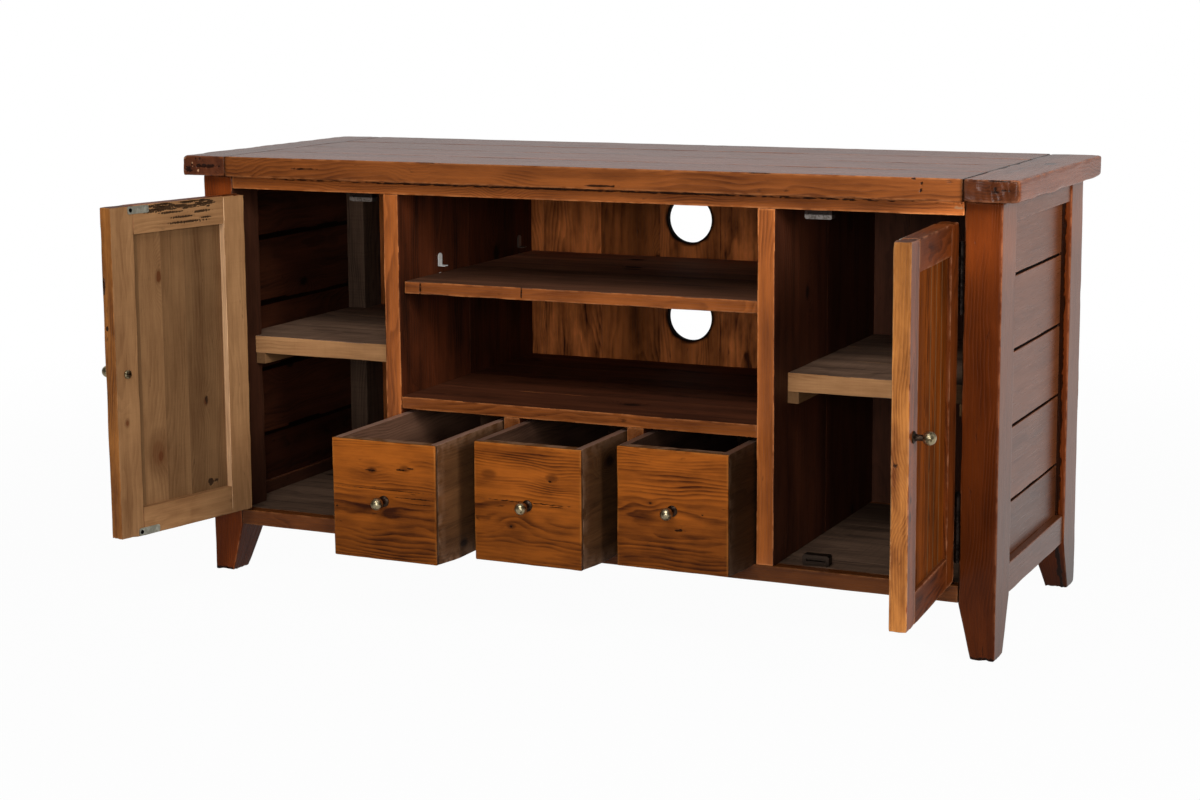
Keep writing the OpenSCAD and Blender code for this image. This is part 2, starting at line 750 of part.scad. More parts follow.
on_drawer(1) drawer_knob();  // drawer_1_knob
on_drawer(2) drawer_front();  // drawer_2_front
on_drawer(2) drawer_box();  // drawer_2_box
on_drawer(2) drawer_bottom();  // drawer_2_bottom
on_drawer(2) drawer_knob();  // drawer_2_knob
on_drawer(3) drawer_front();  // drawer_3_front
on_drawer(3) drawer_box();  // drawer_3_box
on_drawer(3) drawer_bottom();  // drawer_3_bottom
on_drawer(3) drawer_knob();  // drawer_3_knob
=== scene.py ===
"""Media console in worn, stained pine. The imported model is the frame: each board, panel and fitting here takes its
place and size from the solids of its node. Lengths are in metres, the front faces -Y and +Z is up."""
import json
import math

import bpy
import numpy as np
from mathutils import Matrix, Vector


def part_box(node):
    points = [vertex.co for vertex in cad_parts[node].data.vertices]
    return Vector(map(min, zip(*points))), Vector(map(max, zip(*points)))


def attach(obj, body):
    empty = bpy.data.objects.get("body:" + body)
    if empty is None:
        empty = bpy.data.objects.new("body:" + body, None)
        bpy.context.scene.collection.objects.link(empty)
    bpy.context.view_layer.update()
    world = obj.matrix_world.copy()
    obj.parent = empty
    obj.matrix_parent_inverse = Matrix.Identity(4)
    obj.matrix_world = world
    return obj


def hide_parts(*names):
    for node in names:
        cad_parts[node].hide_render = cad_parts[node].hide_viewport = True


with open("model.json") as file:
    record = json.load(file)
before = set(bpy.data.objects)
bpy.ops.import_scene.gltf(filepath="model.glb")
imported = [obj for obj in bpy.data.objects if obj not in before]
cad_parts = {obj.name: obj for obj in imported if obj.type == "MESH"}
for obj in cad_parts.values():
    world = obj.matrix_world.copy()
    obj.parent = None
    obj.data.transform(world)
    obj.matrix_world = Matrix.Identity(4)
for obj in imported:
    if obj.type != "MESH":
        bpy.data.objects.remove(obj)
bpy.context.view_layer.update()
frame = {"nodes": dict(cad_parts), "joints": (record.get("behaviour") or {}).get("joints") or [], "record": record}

MM = 0.001
AXES = {"x": 0, "y": 1, "z": 2}
SIDES = {"left": -1, "right": 1}

# The camera, solved from the edges of the console in the photograph
CAMERA_AT = (1.4941, -3.3484, 0.9713)
YAW, PITCH, ROLL = (math.radians(a) for a in (25.07, 8.55, -0.39))
PHOTO_WIDTH, PHOTO_HEIGHT = 1200, 800
FOCAL_PX = 2264.0
PRINCIPAL_PX = (596.9, 325.8)
SENSOR = 36.0


def put(name, data):
    """A new object in the scene, at the origin."""
    thing = bpy.data.objects.new(name, data)
    bpy.context.scene.collection.objects.link(thing)
    return thing


def make_camera():
    """A camera whose three axes are worked out from yaw, pitch and roll."""
    ahead = Vector((-math.sin(YAW) * math.cos(PITCH), math.cos(YAW) * math.cos(PITCH), -math.sin(PITCH)))
    right = ahead.cross(Vector((0, 0, 1))).normalized()
    up = right.cross(ahead)
    turned_right = math.cos(ROLL) * right + math.sin(ROLL) * up
    turned_up = math.cos(ROLL) * up - math.sin(ROLL) * right
    data = bpy.data.cameras.new("camera")
    data.sensor_width = SENSOR
    data.lens = FOCAL_PX / PHOTO_WIDTH * SENSOR
    data.shift_x = (PHOTO_WIDTH / 2 - PRINCIPAL_PX[0]) / PHOTO_WIDTH
    data.shift_y = (PRINCIPAL_PX[1] - PHOTO_HEIGHT / 2) / PHOTO_WIDTH
    camera = put("camera", data)
    turn = Matrix((turned_right, turned_up, -ahead)).transposed().to_4x4()
    camera.matrix_world = Matrix.Translation(CAMERA_AT) @ turn
    bpy.context.scene.camera = camera


# ---- finishes
def srgb(red, green, blue):
    """A colour given as 0 to 255, in linear light."""
    share = [c / 255 for c in (red, green, blue)]
    return tuple(c / 12.92 if c <= 0.04045 else ((c + 0.055) / 1.055) ** 2.4 for c in share) + (1.0,)


class Wire:
    """An output of a node in a finish. Its sums, products and quotients are Math nodes."""

    def __init__(self, finish, socket):
        self.finish, self.socket = finish, socket

    def __add__(self, other):
        return self.finish.math("ADD", self, other)

    def __sub__(self, other):
        return self.finish.math("SUBTRACT", self, other)

    def __mul__(self, other):
        return self.finish.math("MULTIPLY", self, other)

    def __truediv__(self, other):
        return self.finish.math("DIVIDE", self, other)


class Finish:
    """One material, with a short call for each kind of node that the finishes use."""

    def __init__(self, name, tree=None):
        if tree is None:
            self.material = bpy.data.materials.new(name)
            self.material.use_nodes = True
            tree = self.material.node_tree
        self.tree = tree
        tree.nodes.clear()

    def add(self, kind, inputs, *outputs, **settings):
        """A new node, and the outputs asked for: one Wire or a list. An input is a number, a colour or a Wire."""
        node = self.tree.nodes.new("ShaderNode" + kind)
        for key, value in settings.items():
            setattr(node, key, value)
        for key, value in inputs.items():
            if isinstance(value, Wire):
                self.tree.links.new(value.socket, node.inputs[key])
            else:
                node.inputs[key].default_value = value
        wires = [Wire(self, node.outputs[key]) for key in outputs]
        return wires[0] if len(wires) == 1 else wires

    def math(self, operation, a, b=0.0, clamp=False):
        """One sum, product, root and so on of numbers or Wires."""
        return self.add("Math", {0: a, 1: b}, 0, operation=operation, use_clamp=clamp)

    def larger(self, a, b):
        return self.math("MAXIMUM", a, b)

    def times(self, vector, factors):
        """The vector, each part times its own factor."""
        return self.add("VectorMath", {0: vector, 1: factors}, 0, operation="MULTIPLY")

    def noise(self, at, scale=1.0, detail=2.0, roughness=0.5, output="Fac"):
        inputs = {"Vector": at, "Scale": scale, "Detail": detail, "Roughness": roughness}
        return self.add("TexNoise", inputs, output)

    def smooth(self, value, low, high, to_low=0.0, to_high=1.0):
        """A soft step: to_low below low and to_high above high. low may be the larger."""
        inputs = {"Value": value, "From Min": low, "From Max": high, "To Min": to_low, "To Max": to_high}
        return self.add("MapRange", inputs, "Result", interpolation_type="SMOOTHSTEP")

    def mix(self, factor, a, b, blend="MIX"):
        """A blend of two colours, each a Wire or given as 0 to 255."""
        a, b = (srgb(*c) if isinstance(c, tuple) else c for c in (a, b))
        return self.add("Mix", {"Factor": factor, 6: a, 7: b}, 2, data_type="RGBA", blend_type=blend)

    def split(self, vector):
        return self.add("SeparateXYZ", {0: vector}, 0, 1, 2)

    def shade(self, colour, roughness, height=None, lift=0.0, **sockets):
        """The shader itself. height is the relief as a share of lift, in metres."""
        inputs = {"Base Color": colour, "Roughness": roughness, **sockets}
        if height is not None:
            inputs["Normal"] = self.add("Bump", {"Height": height, "Distance": lift, "Strength": 1.0}, 0)
        self.add("OutputMaterial", {"Surface": self.add("BsdfPrincipled", inputs, 0)})
        return self.material


RING_PITCH = 4.6 * MM
KNOT_CELL = (0.34, 0.12, 0.5)
BARE_WOOD = (206, 158, 116)


def pine(name, light, dark, knot, figure=0.4, blotch=0.5, worn=None, rough=0.27, saw=0.0, knots=0.4, end_dark=0.5,
         gloss=0.2, marks=0.5, streaks=1.0, lift=0.5 * MM):
    """Sawn pine. Growth rings are cones about a heart line that wanders, cut by the board, and bulge round knots. The
    attribute "grain" holds each point's place along the board, across it and away from the heart. "wear" holds how
    near an arris the point is, whether it is on end grain, and the board's own tone. "knot" holds how far the rings
    bulge there, how deep in a knot the point is, and how dark a scar or crack is: below nought it is bare wood. worn
    is the colour of the rubbed arrises and how much of it they show."""
    f = Finish(name)
    grain, wear, placed = (f.add("Attribute", {}, "Vector", attribute_name=n) for n in ("grain", "wear", "knot"))
    along, across, depth = f.split(grain)
    arris, end, tone = f.split(wear)
    placed_bulge, placed_knot, scar = f.split(placed)

    def grained(lengthwise, crosswise, detail=2.0, roughness=0.5, output="Fac"):
        """Noise with one scale along the grain and another across it."""
        return f.noise(f.times(grain, (lengthwise, crosswise, crosswise)), 1.0, detail, roughness, output)

    drift_across, drift_deep, _ = f.split(grained(2.6, 7.0, 3.0, output="Color"))
    side, deep = drift_across * 0.06 + (across - 0.03), drift_deep * 0.06 + (depth - 0.03)
    radius = f.math("SQRT", side * side + deep * deep) + along * 0.02 + placed_bulge * 0.016
    radius += grained(9.0, 42.0) * 0.007

    celled = f.times(grain, tuple(1 / c for c in KNOT_CELL))
    nearest, lot = f.add("TexVoronoi", {"Vector": celled, "Scale": 1.0, "Randomness": 0.9}, "Position", "Color")
    offset = f.add("VectorMath", {0: celled, 1: nearest}, 0, operation="SUBTRACT")
    dx, dy, _ = f.split(f.times(offset, (KNOT_CELL[0] * 0.55, KNOT_CELL[1], 0.0)))
    chance, size, _ = f.split(lot)
    reach = f.math("SQRT", dx * dx + dy * dy) + (f.noise(grain, 70.0) * 0.006 - 0.003)
    there = f.smooth(chance, 1.0 - knots, 1.02 - knots)
    bulge = f.smooth(reach, 0.05, 0.0) * there
    radius += bulge * bulge * 0.03
    knot_place = reach / (size * 0.007 + 0.002)
    is_knot = f.larger(f.smooth(knot_place, 1.15, 0.8) * there, f.smooth(placed_knot, 0.35, 0.6))
    knot_rim = f.larger(f.smooth(knot_place, 1.9, 1.05) * there, f.smooth(placed_knot, 0.05, 0.35))

    ring = f.math("FRACT", radius / RING_PITCH)
    strength = f.smooth(grained(6.0, 40.0), 0.38, 0.62, 0.1, 1.0)
    strength = f.larger(strength, f.larger(bulge, placed_bulge) * 0.7)
    late = f.smooth(ring, 0.1, 0.8) * f.smooth(ring, 1.0, 0.86) * strength
    fibre = grained(16.0, 620.0, 3.0, 0.6)
    streak = grained(1.4, 40.0, 4.0, 0.65)
    band = grained(1.0, 11.0)
    cloud = grained(9.0, 26.0, 4.0, 0.6)
    value = late * figure + (fibre - 0.5) * 0.5 + (streak - 0.5) * (1.5 * streaks)
    value += (band - 0.5) * (0.9 * streaks) + (cloud - 0.5) * (1.8 * blotch)
    colour = f.mix(f.math("ADD", value, 0.42 - figure * 0.35, clamp=True), light, dark)
    colour = f.mix(knot_rim * 0.5, colour, dark)
    colour = f.mix(is_knot * 0.85, colour, knot)

    dent = f.smooth(grained(26.0, 95.0, 3.0, 0.6), 0.67, 0.75) * marks
    deep_brown, end_brown = (tuple(c * share for c in dark) for share in (0.4, 0.6))
    colour = f.mix(dent, colour, deep_brown)
    if saw:
        colour = f.mix(f.smooth(grained(420.0, 5.0), 0.45, 0.75, 0.0, saw), colour, dark)
    colour = f.mix(end * end_dark, colour, end_brown)
    if worn:
        rub = f.smooth(f.noise(grain, 55.0, 3.0), 0.36, 0.6) * arris * worn[1]
        colour = f.mix(rub, colour, worn[0])
    colour = f.mix(1.0, colour, f.add("CombineColor", {0: tone, 1: tone, 2: tone}, 0), "MULTIPLY")
    rough_edge = grained(60.0, 260.0, 3.0) * 0.7
    cut = f.smooth(rough_edge + scar, 0.55, 0.85)
    colour = f.mix(cut * 0.92, colour, deep_brown)
    colour = f.mix(f.smooth(rough_edge - scar, 0.6, 0.9) * 0.75, colour, BARE_WOOD)

    height = fibre * 0.3 - late * 0.4 - dent * 1.2 - cut * 1.5 - knot_rim * 0.3 if lift else None
    return f.shade(colour, (fibre - 0.5) * 0.2 + rough, height, lift, **{"Specular IOR Level": gloss})


def aged_metal(name, base, tarnish, rough=0.42, spot_size=160.0, share=0.5, dull=(), metallic=1.0):
    """Metal with a tarnish that lies in soft patches over it, and fine scratches in its roughness. A row of painted
    shade
    is (axis, from, to, colour): along that axis the metal is painted darker, as shade falls low down, under a shelf
    or deep in a bay."""
    f = Finish(name)
    place = f.add("TexCoord", {}, "Object")
    patch = f.smooth(f.noise(place, spot_size, 4.0, 0.65), 0.62 - share * 0.3, 0.72 - share * 0.2)
    fine = f.noise(f.times(place, (1.0, 1.0, 6.0)), 900.0)
    colour = f.mix(patch, base, tarnish)
    for axis, start, end, shade_colour in dull:
        colour = f.mix(f.smooth(f.split(place)[AXES[axis]], start, end), colour, shade_colour)
    roughness = fine * 0.25 + (patch * 0.15 + (rough - 0.12))
    return f.shade(colour, roughness, fine - patch * 0.5, 0.08 * MM, Metallic=metallic)


STAIN = pine("stained_pine", (158, 88, 40), (66, 30, 14), (34, 14, 7), figure=0.3, worn=((190, 120, 70), 0.7),
             gloss=0.16, streaks=0.9)
FIGURED = pine("stained_pine_figured", (182, 98, 30), (66, 28, 9), (40, 16, 6), figure=0.45, blotch=0.9,
               worn=((190, 118, 52), 0.6), knots=0.1, streaks=0.7, gloss=0.08, rough=0.4)
PANEL = pine("stained_pine_panel", (182, 92, 28), (66, 28, 9), (40, 16, 6), figure=0.45, blotch=0.7, knots=0.1,
             streaks=0.9, gloss=0.01, rough=0.5)
POST = pine("stained_pine_post", (140, 64, 22), (56, 21, 7), (30, 12, 5), worn=((176, 108, 70), 0.8), gloss=0.1,
            figure=0.15, streaks=0.5)
DOOR = pine("stained_pine_door", (138, 66, 24), (46, 18, 7), (28, 11, 5), figure=0.45, worn=((182, 120, 84), 0.8),
            gloss=0.05, rough=0.4)
POLISHED = pine("stained_pine_polished", (142, 74, 36), (62, 28, 14), (32, 14, 7), figure=0.35,
                worn=((182, 120, 84), 0.7), gloss=0.24, rough=0.3, lift=0.2 * MM)
EDGE = pine("stained_pine_edge", (202, 130, 64), (104, 54, 23), (48, 20, 8), figure=0.25, blotch=1.2,
            worn=((206, 146, 92), 0.6), gloss=0.12, marks=0.8)
TOP = pine("stained_pine_top", (156, 88, 56), (90, 45, 28), (44, 20, 12), figure=0.25, worn=((176, 98, 50), 0.75),
           gloss=0.135, streaks=0.8, lift=0.45 * MM)
# A greyer, darker copy of the stain for faces toward the sides: painted shade, and the grey of a painted reflection.
SIDE_SHADE = pine("stained_pine_side", (128, 72, 40), (70, 34, 18), (40, 18, 10), figure=0.15, blotch=0.3, rough=0.3,
            worn=((160, 96, 60), 0.6), streaks=0.4, marks=0.05, lift=0.0, knots=0.15)
# A dark copy of the stain: the real dark stain of the back's outer face, and painted shade on the faces of dividers
# and partitions inside the bays.
DARK_STAIN_AND_SHADE = pine("stained_pine_deep", (70, 32, 15), (22, 10, 6), (14, 6, 3), figure=0.3, blotch=0.9, rough=0.6,
            worn=((90, 48, 26), 0.2), gloss=0.08)
# A darker copy of the stain for faces inside the bays: painted shade.
BAY_SHADE = pine("stained_pine_bay", (80, 46, 31), (32, 18, 12), (18, 9, 6), figure=0.25, blotch=0.7, rough=0.6,
           gloss=0.1, worn=((96, 62, 42), 0.5), streaks=0.7)
# A dark, matt copy of the stain: painted shade on the fixed shelf's top and bottom, on the side planks' laps and in
# the cable holes.
SHELF_SHADE = pine("stained_pine_shelf", (92, 50, 31), (44, 23, 14), (24, 10, 5), figure=0.35, rough=0.8, gloss=0.03)
# A lighter, greyer copy of the shelf finish for the adjustable shelf's top and bottom: painted light, as less light
# reaches them.
SHELF_HIGH_LIT = pine("stained_pine_high_shelf", (112, 74, 54), (62, 40, 29), (28, 15, 10), figure=0.3, rough=0.8,
                  gloss=0.03)
BOX_IN = pine("stained_pine_drawer_inside", (112, 80, 62), (52, 34, 26), (34, 18, 12), figure=0.25, rough=0.6,
              gloss=0.08)
# A paler copy of raw pine: a painted highlight on the hinge stile's edges behind the panel.
RAW_HIGHLIGHT = pine("raw_pine_pale", (224, 180, 136), (150, 102, 66), (104, 56, 28), figure=0.25, rough=0.7, marks=0.2)
# A pale, pinkish copy for the drawer sides' top edges: a painted highlight.
RIM_HIGHLIGHT = pine("stained_pine_rim", (158, 122, 104), (96, 66, 52), (50, 30, 22), figure=0.2, rough=0.35, gloss=0.3)
SHADED = pine("stained_pine_shaded", (72, 37, 22), (29, 15, 9), (14, 7, 4), figure=0.3, rough=0.5, gloss=0.08)
# A bright orange copy of the stain for the back's inner faces: painted light, making up for the dim light in the
# bays.
BACK_LIT = pine("stained_pine_back", (196, 112, 58), (50, 23, 12), (30, 11, 5), figure=0.3, blotch=1.2, knots=0.6,
            gloss=0.1)
RAW = pine("raw_pine", (162, 120, 80), (104, 68, 40), (98, 52, 26), figure=0.18, blotch=0.6, rough=0.75, saw=0.07,
           end_dark=0.3, marks=0.35, streaks=0.55, gloss=0.1)
GREY_RAW = pine("raw_pine_grey", (118, 92, 74), (64, 48, 38), (46, 30, 22), rough=0.72, saw=0.3, end_dark=0.2,
                gloss=0.1)
BOX_SIDE = pine("stained_pine_drawer_side", (104, 68, 40), (44, 27, 16), (28, 14, 9), figure=0.2, rough=0.55,
                worn=((150, 116, 92), 0.7), gloss=0.08, streaks=0.7)
CATCH_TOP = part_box("magnetic_catches")[1].z
BRASS = aged_metal("antique_brass", (182, 166, 132), (92, 80, 58), 0.3)
BRONZE = aged_metal("bronze_rose", (66, 52, 42), (34, 26, 22))
IRON = aged_metal("dark_iron", (46, 38, 34), (20, 16, 14), share=0.6)
# The rear shelf supports, the lower catches and the catches' top edges are painted darker: painted shade.
STEEL = aged_metal("bright_steel", (232, 232, 228), (170, 168, 160), 0.3, share=0.2, metallic=0.3,
                   dull=[("y", -0.1, 0.05, (96, 86, 78))])
PLATE = aged_metal("zinc_plate", (174, 172, 156), (146, 143, 128), spot_size=60.0, share=0.8, metallic=0.6)
CATCH = aged_metal("catch_steel", (162, 154, 148), (110, 102, 94), spot_size=220.0, dull=[
    ("z", 0.4, 0.2, (70, 58, 50)), ("z", CATCH_TOP - 10.5 * MM, CATCH_TOP - 8 * MM, (58, 48, 44))])
# Near-black metal for a screw's slot and for an empty screw hole: painted shade.
HOLE_SHADE = aged_metal("screw_hole", (18, 14, 12), (8, 6, 5), 0.6)


# ---- surfaces
WAVES = 7


def ripple(points, size, seed):
    """A smooth random field from about -1 to 1: the mean of sine waves about size long, in random directions."""
    pick = np.random.default_rng(seed)
    ways = pick.normal(size=(WAVES, 3))
    ways /= np.linalg.norm(ways, axis=1, keepdims=True)
    lengths = size * pick.uniform(0.6, 1.8, WAVES)
    phases = pick.uniform(0, 2 * math.pi, WAVES)
    return np.sin(2 * math.pi * (points @ (ways / lengths[:, None]).T) + phases).sum(1) / 3.2


def seed_of(name):
    """A seed from a name, the same each run."""
    return sum((i + 3) * ord(c) for i, c in enumerate(name)) % 9973


EASED_LINES = np.array([0.0, 0.22, 0.55, 1.0, 1.6])  # where the grid's lines near an edge lie, in units of its ease


def grid_lines(low, high, ease, step, extra=()):
    """Places from low to high: close together in the eased edges, then at most step apart, with some extra ones."""
    edge = ease * EASED_LINES
    edge = edge[edge < (high - low) * 0.45]
    inner_low, inner_high = low + edge[-1], high - edge[-1]
    middle = np.linspace(inner_low, inner_high, max(2, math.ceil((inner_high - inner_low) / step) + 1))
    extra = [e for e in extra if inner_low < e < inner_high]
    return np.unique(np.concatenate([low + edge, middle, high - edge, extra]).round(7))


def box_skin(xs, ys, zs):
    """The six faces of a box as one closed grid: the points of a lattice that lie on its outside, and its quads."""
    counts = (len(xs), len(ys), len(zs))
    place = np.indices(counts)
    outside = np.zeros(counts, bool)
    for axis in range(3):
        outside |= (place[axis] == 0) | (place[axis] == counts[axis] - 1)
    number = np.full(counts, -1)
    number[outside] = np.arange(outside.sum())
    points = np.stack(np.meshgrid(xs, ys, zs, indexing="ij"), -1)[outside]
    quads = []
    for axis in range(3):
        for last in (0, 1):
            sheet = np.take(number, counts[axis] - 1 if last else 0, axis=axis)
            quad = np.stack([sheet[:-1, :-1], sheet[1:, :-1], sheet[1:, 1:], sheet[:-1, 1:]], -1).reshape(-1, 4)
            quads.append(quad if (last == 1) == (axis != 1) else quad[:, ::-1])
    return points, np.concatenate(quads)


def eased_box(points, low, high, ease):
    """Rounds the edges of a box: a point goes to the nearest point of the box drawn in by ease, then out by ease
    towards where it was."""
    ease = ease[:, None]
    core = np.clip(points, low + ease, high - ease)
    away = points - core
    length = np.linalg.norm(away, axis=1, keepdims=True)
    return core + away / np.maximum(length, 1e-9) * np.minimum(ease, length)


FINEST = 0.6 * MM  # the grid lines round knots and scars lie on multiples of this
ARRIS = 3.5 * MM  # how far from an edge the wood is rubbed
GNAWED_ENDS, GNAWED_EDGES = 10 * MM, 14 * MM  # how far from its ends and edges a board is gnawed


class Board:
    """The skin of one board: its points, quads, grain, wear and knots. A knot is (place, radius), and shows on both
    faces, and a third number under 1 makes it a soft one. A scar is (place, half size along each axis, depth), the
    last two in millimetres: a dark dent or crack, or with a depth below nought a chip down to bare wood. A strip is
    (place across the board, tone): from there on it is another glued strip. A patch is (place, half size along each
    axis, tone): a soft lighter or darker spot. gnaw is how far its ends are worn away in places, and fade how much
    darker it is at its foot."""

    def __init__(self, low, high, along="x", seed=0, ease=1.8 * MM, step=0.022, tone=1.0, heart=None,
                 sag=0.25 * MM, chips=4, extra=((), (), ()), across=None, knots=(), scars=(), strips=(), gnaw=0.0,
                 fade=0.0, patches=()):
        """A box's lattice, rounded at its edges by ease times a share that a ripple and a few chips vary. Its faces
        dip inwards by a ripple up to sag and by the scars' depths, and gnawed ends draw in by ripples near them."""
        low, high = np.array(low, float), np.array(high, float)
        scars = [(at, np.array(half) * MM, deep * MM) for at, half, deep in scars]
        pick = np.random.default_rng(seed)
        size = high - low
        a = AXES[along]
        rest = [i for i in range(3) if i != a]
        w = AXES[across] if across else max(rest, key=lambda i: size[i])
        t = next(i for i in rest if i != w)
        reach = min(ease, size.min() * 0.32)
        step = np.broadcast_to(step, 3)
        lines = [list(e) for e in extra]
        lines[w] += [s + d for s, _ in strips for d in (-0.4 * MM, 0.4 * MM)]
        spots = [(at, half) for at, half, _ in scars] + [(k[0], (k[1],) * 3) for k in knots]
        for i in (a, w):
            lines[i] += [round((at[i] + half[i] * d) / FINEST) * FINEST
                         for at, half in spots for d in (-1, -0.5, 0, 0.5, 1)]
        flat, self.quads = box_skin(*(grid_lines(low[i], high[i], reach, step[i], lines[i]) for i in range(3)))
        worn = 0.62 + 0.38 * ripple(flat, 0.09, seed + 1)
        for _ in range(chips):
            spot = np.array([pick.choice([low[i], high[i]]) if i != a else pick.uniform(low[i], high[i])
                             for i in range(3)])
            worn += 0.9 * np.exp(-np.sum((flat - spot) ** 2, 1) / pick.uniform(0.006, 0.016) ** 2)
        points = eased_box(flat, low, high, np.clip(worn, 0.25, 1.0) * reach)
        middle = (low + high) / 2
        inward = np.where(np.abs(points - middle) > size / 2 - 1e-4, np.sign(middle - points), 0.0)
        dip = np.clip(sag * (0.5 + 0.5 * ripple(flat, 0.16, seed + 2)), 0, size.min() * 0.03)
        scar = np.zeros(len(flat))
        for at, half, deep in scars:
            off = np.linalg.norm((flat - np.array(at)) / half, axis=1)
            hit = np.clip(1.2 - off + 0.3 * ripple(flat, min(half) * 2, seed + 5), 0, 1)
            scar = np.where(hit > np.abs(scar), hit * np.sign(deep), scar)
            dip = dip + hit * abs(deep)
        points = points + inward * dip[:, None]
        gap = np.minimum(flat - low, high - flat)
        if gnaw:
            near = np.clip(1 - gap[:, a] / GNAWED_ENDS, 0, 1)
            bite = 0.35 + 0.5 * ripple(flat, 0.014, seed + 3) + 0.4 * ripple(flat, 0.04, seed + 4)
            points[:, a] += np.sign(middle[a] - flat[:, a]) * gnaw * near * np.clip(bite, 0, 1)
            drop = np.clip(1 - gap[:, w] / GNAWED_EDGES, 0, 1) * near
            drop = drop * gnaw * (0.5 + 0.5 * ripple(flat, 0.018, seed + 6))
            points[:, t] += np.sign(middle[t] - flat[:, t]) * drop
        self.points, self.flat = points, flat
        turn = pick.choice([-1, 1], 3)
        if heart is None:
            heart = (pick.uniform(-0.03, 0.03), pick.uniform(0.03, 0.09))
        self.grain = (flat - middle)[:, [a, w, t]] * turn + [pick.uniform(-9, 9), heart[0], heart[1]]
        tones = tone * pick.uniform(0.93, 1.07) * (1 - fade * (high[2] - flat[:, 2]) / size[2])
        for at, half, patch_tone in patches:
            off = (flat - np.array(at)) / np.array(half)
            tones = tones * (1 + (patch_tone - 1) * np.exp(-np.sum(off ** 2, 1)))
        for place, strip_tone in strips:
            past = flat[:, w] > place
            self.grain[past] += [pick.uniform(1, 3), pick.uniform(0.02, 0.05), 0.0]
            tones[past] *= strip_tone
        near_arris = np.clip(1 - np.sort(gap, axis=1)[:, 1] / ARRIS, 0, 1)
        self.wear = np.stack([near_arris, (gap[:, a] < reach * 0.1).astype(float), tones], 1)
        bulge, core = np.zeros(len(flat)), np.zeros(len(flat))
        for at, radius, *share in knots:
            off = flat - np.array(at)
            distance, firm = np.hypot(off[:, a] * 0.6, off[:, w]), share[0] if share else 1.0
            bulge = np.maximum(bulge, firm * np.exp(-(distance / min(3.4 * radius, 0.03)) ** 2))
            core = np.maximum(core, np.clip(1.5 - distance / radius, 0, 1) * firm)
        self.knot = np.stack([bulge, core, scar], 1)

    def moved(self, change):
        """The same board with its points changed by a function of the points."""
        self.points = change(self.points)
        return self


def placed_at(points, turn):
    """Points after a 4 by 4 turn, if there is one."""
    return points if turn is None else points @ turn[:3, :3].T + turn[:3, 3]


def joined(surfaces):
    """Several surfaces, each (points, quads), as one: their points together, and their quads counted on."""
    starts = np.cumsum([0] + [len(p) for p, _ in surfaces[:-1]])
    return np.concatenate([p for p, _ in surfaces]), np.concatenate([q + s for (_, q), s in zip(surfaces, starts)])


def declare(name, points, quads, finishes, number, body, replaced=(), turn=None):
    """A smooth piece from arrays of points and quads, with the number of each quad's finish, and what it stands
    for."""
    mesh = bpy.data.meshes.new(name)
    mesh.from_pydata(placed_at(points, turn).tolist(), [], quads.tolist())
    mesh.polygons.foreach_set("use_smooth", np.ones(len(mesh.polygons), bool))
    for finish in finishes:
        mesh.materials.append(finish)
    mesh.polygons.foreach_set("material_index", number)
    mesh.update()
    piece = put(name, mesh)
    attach(piece, body)
    if replaced:
        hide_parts(*replaced)
    return piece


def make(node, boards, finish, others=(), body="case", turn=None):
    """Boards in one mesh that replaces the node. others holds pairs of a finish and a function of the quads' centres
    and normals that tells which quads take it. turn is a 4 by 4 matrix that the points take at the end."""
    points, quads = joined([(b.points, b.quads) for b in boards])
    corner = points[quads]
    normal = np.cross(corner[:, 2] - corner[:, 0], corner[:, 3] - corner[:, 1])
    normal /= np.maximum(np.linalg.norm(normal, axis=1, keepdims=True), 1e-12)
    number = np.zeros(len(quads), np.int32)
    for i, (_, chosen) in enumerate(others):
        number[chosen(corner.mean(1), normal)] = i + 1
    finishes = [finish] + [other for other, _ in others]
    piece = declare(node + "_worn", points, quads, finishes, number, body, [node], turn)
    for key in ("grain", "wear", "knot"):
        layer = piece.data.attributes.new(key, "FLOAT_VECTOR", "POINT")
        layer.data.foreach_set("vector", np.concatenate([getattr(b, key) for b in boards]).ravel())


def facing(axis, way, least=0.5):
    """A function that tells which quads face that way along an axis."""
    return lambda at, normal: normal[:, AXES[axis]] * way > least


def box(node):
    """The low and high corners of a CAD node."""
    return [np.array(v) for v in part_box(node)]


def solids(node, turn=None):
    """The low and high corners of each separate solid of a CAD node, in order along X, then Y, then Z. Points that
    share a place are one, and each takes the lowest number among its neighbours until nothing changes."""
    mesh = frame["nodes"][node].data
    points = np.empty(len(mesh.vertices) * 3)
    mesh.vertices.foreach_get("co", points)
    points = points.reshape(-1, 3)
    mesh.calc_loop_triangles()
    faces = np.empty(len(mesh.loop_triangles) * 3, np.int64)
    mesh.loop_triangles.foreach_get("vertices", faces)
    _, same = np.unique(points.round(5), axis=0, return_inverse=True)
    faces = same.ravel()[faces.reshape(-1, 3)]
    label = np.arange(same.max() + 1)
    while True:
        lower = label.copy()
        np.minimum.at(lower, faces, label[faces].min(1)[:, None])
        if (lower == label).all():
            break
        label = lower
    points = placed_at(points, turn)
    own = label[same.ravel()]
    boxes = [(points[own == i].min(0), points[own == i].max(0)) for i in np.unique(own)]
    return sorted(boxes, key=lambda b: [round(float(v), 3) for v in b[0]])


def shut_turn(side):
    """The matrix that turns the points of an open door about its hinge's pin until it is shut."""
    joint = next(j for j in frame["joints"] if j["name"] == f"door_{side}_swing")
    at = np.array(joint["pos_m"])
    a = math.radians(max(joint["range_deg"], key=abs))
    matrix = np.eye(4)
    matrix[:2, :2] = [[math.cos(a), -math.sin(a)], [math.sin(a), math.cos(a)]]
    matrix[:3, 3] = at - matrix[:3, :3] @ at
    return matrix


NEAR = 4 * MM  # how far outside a board a mark on it may lie


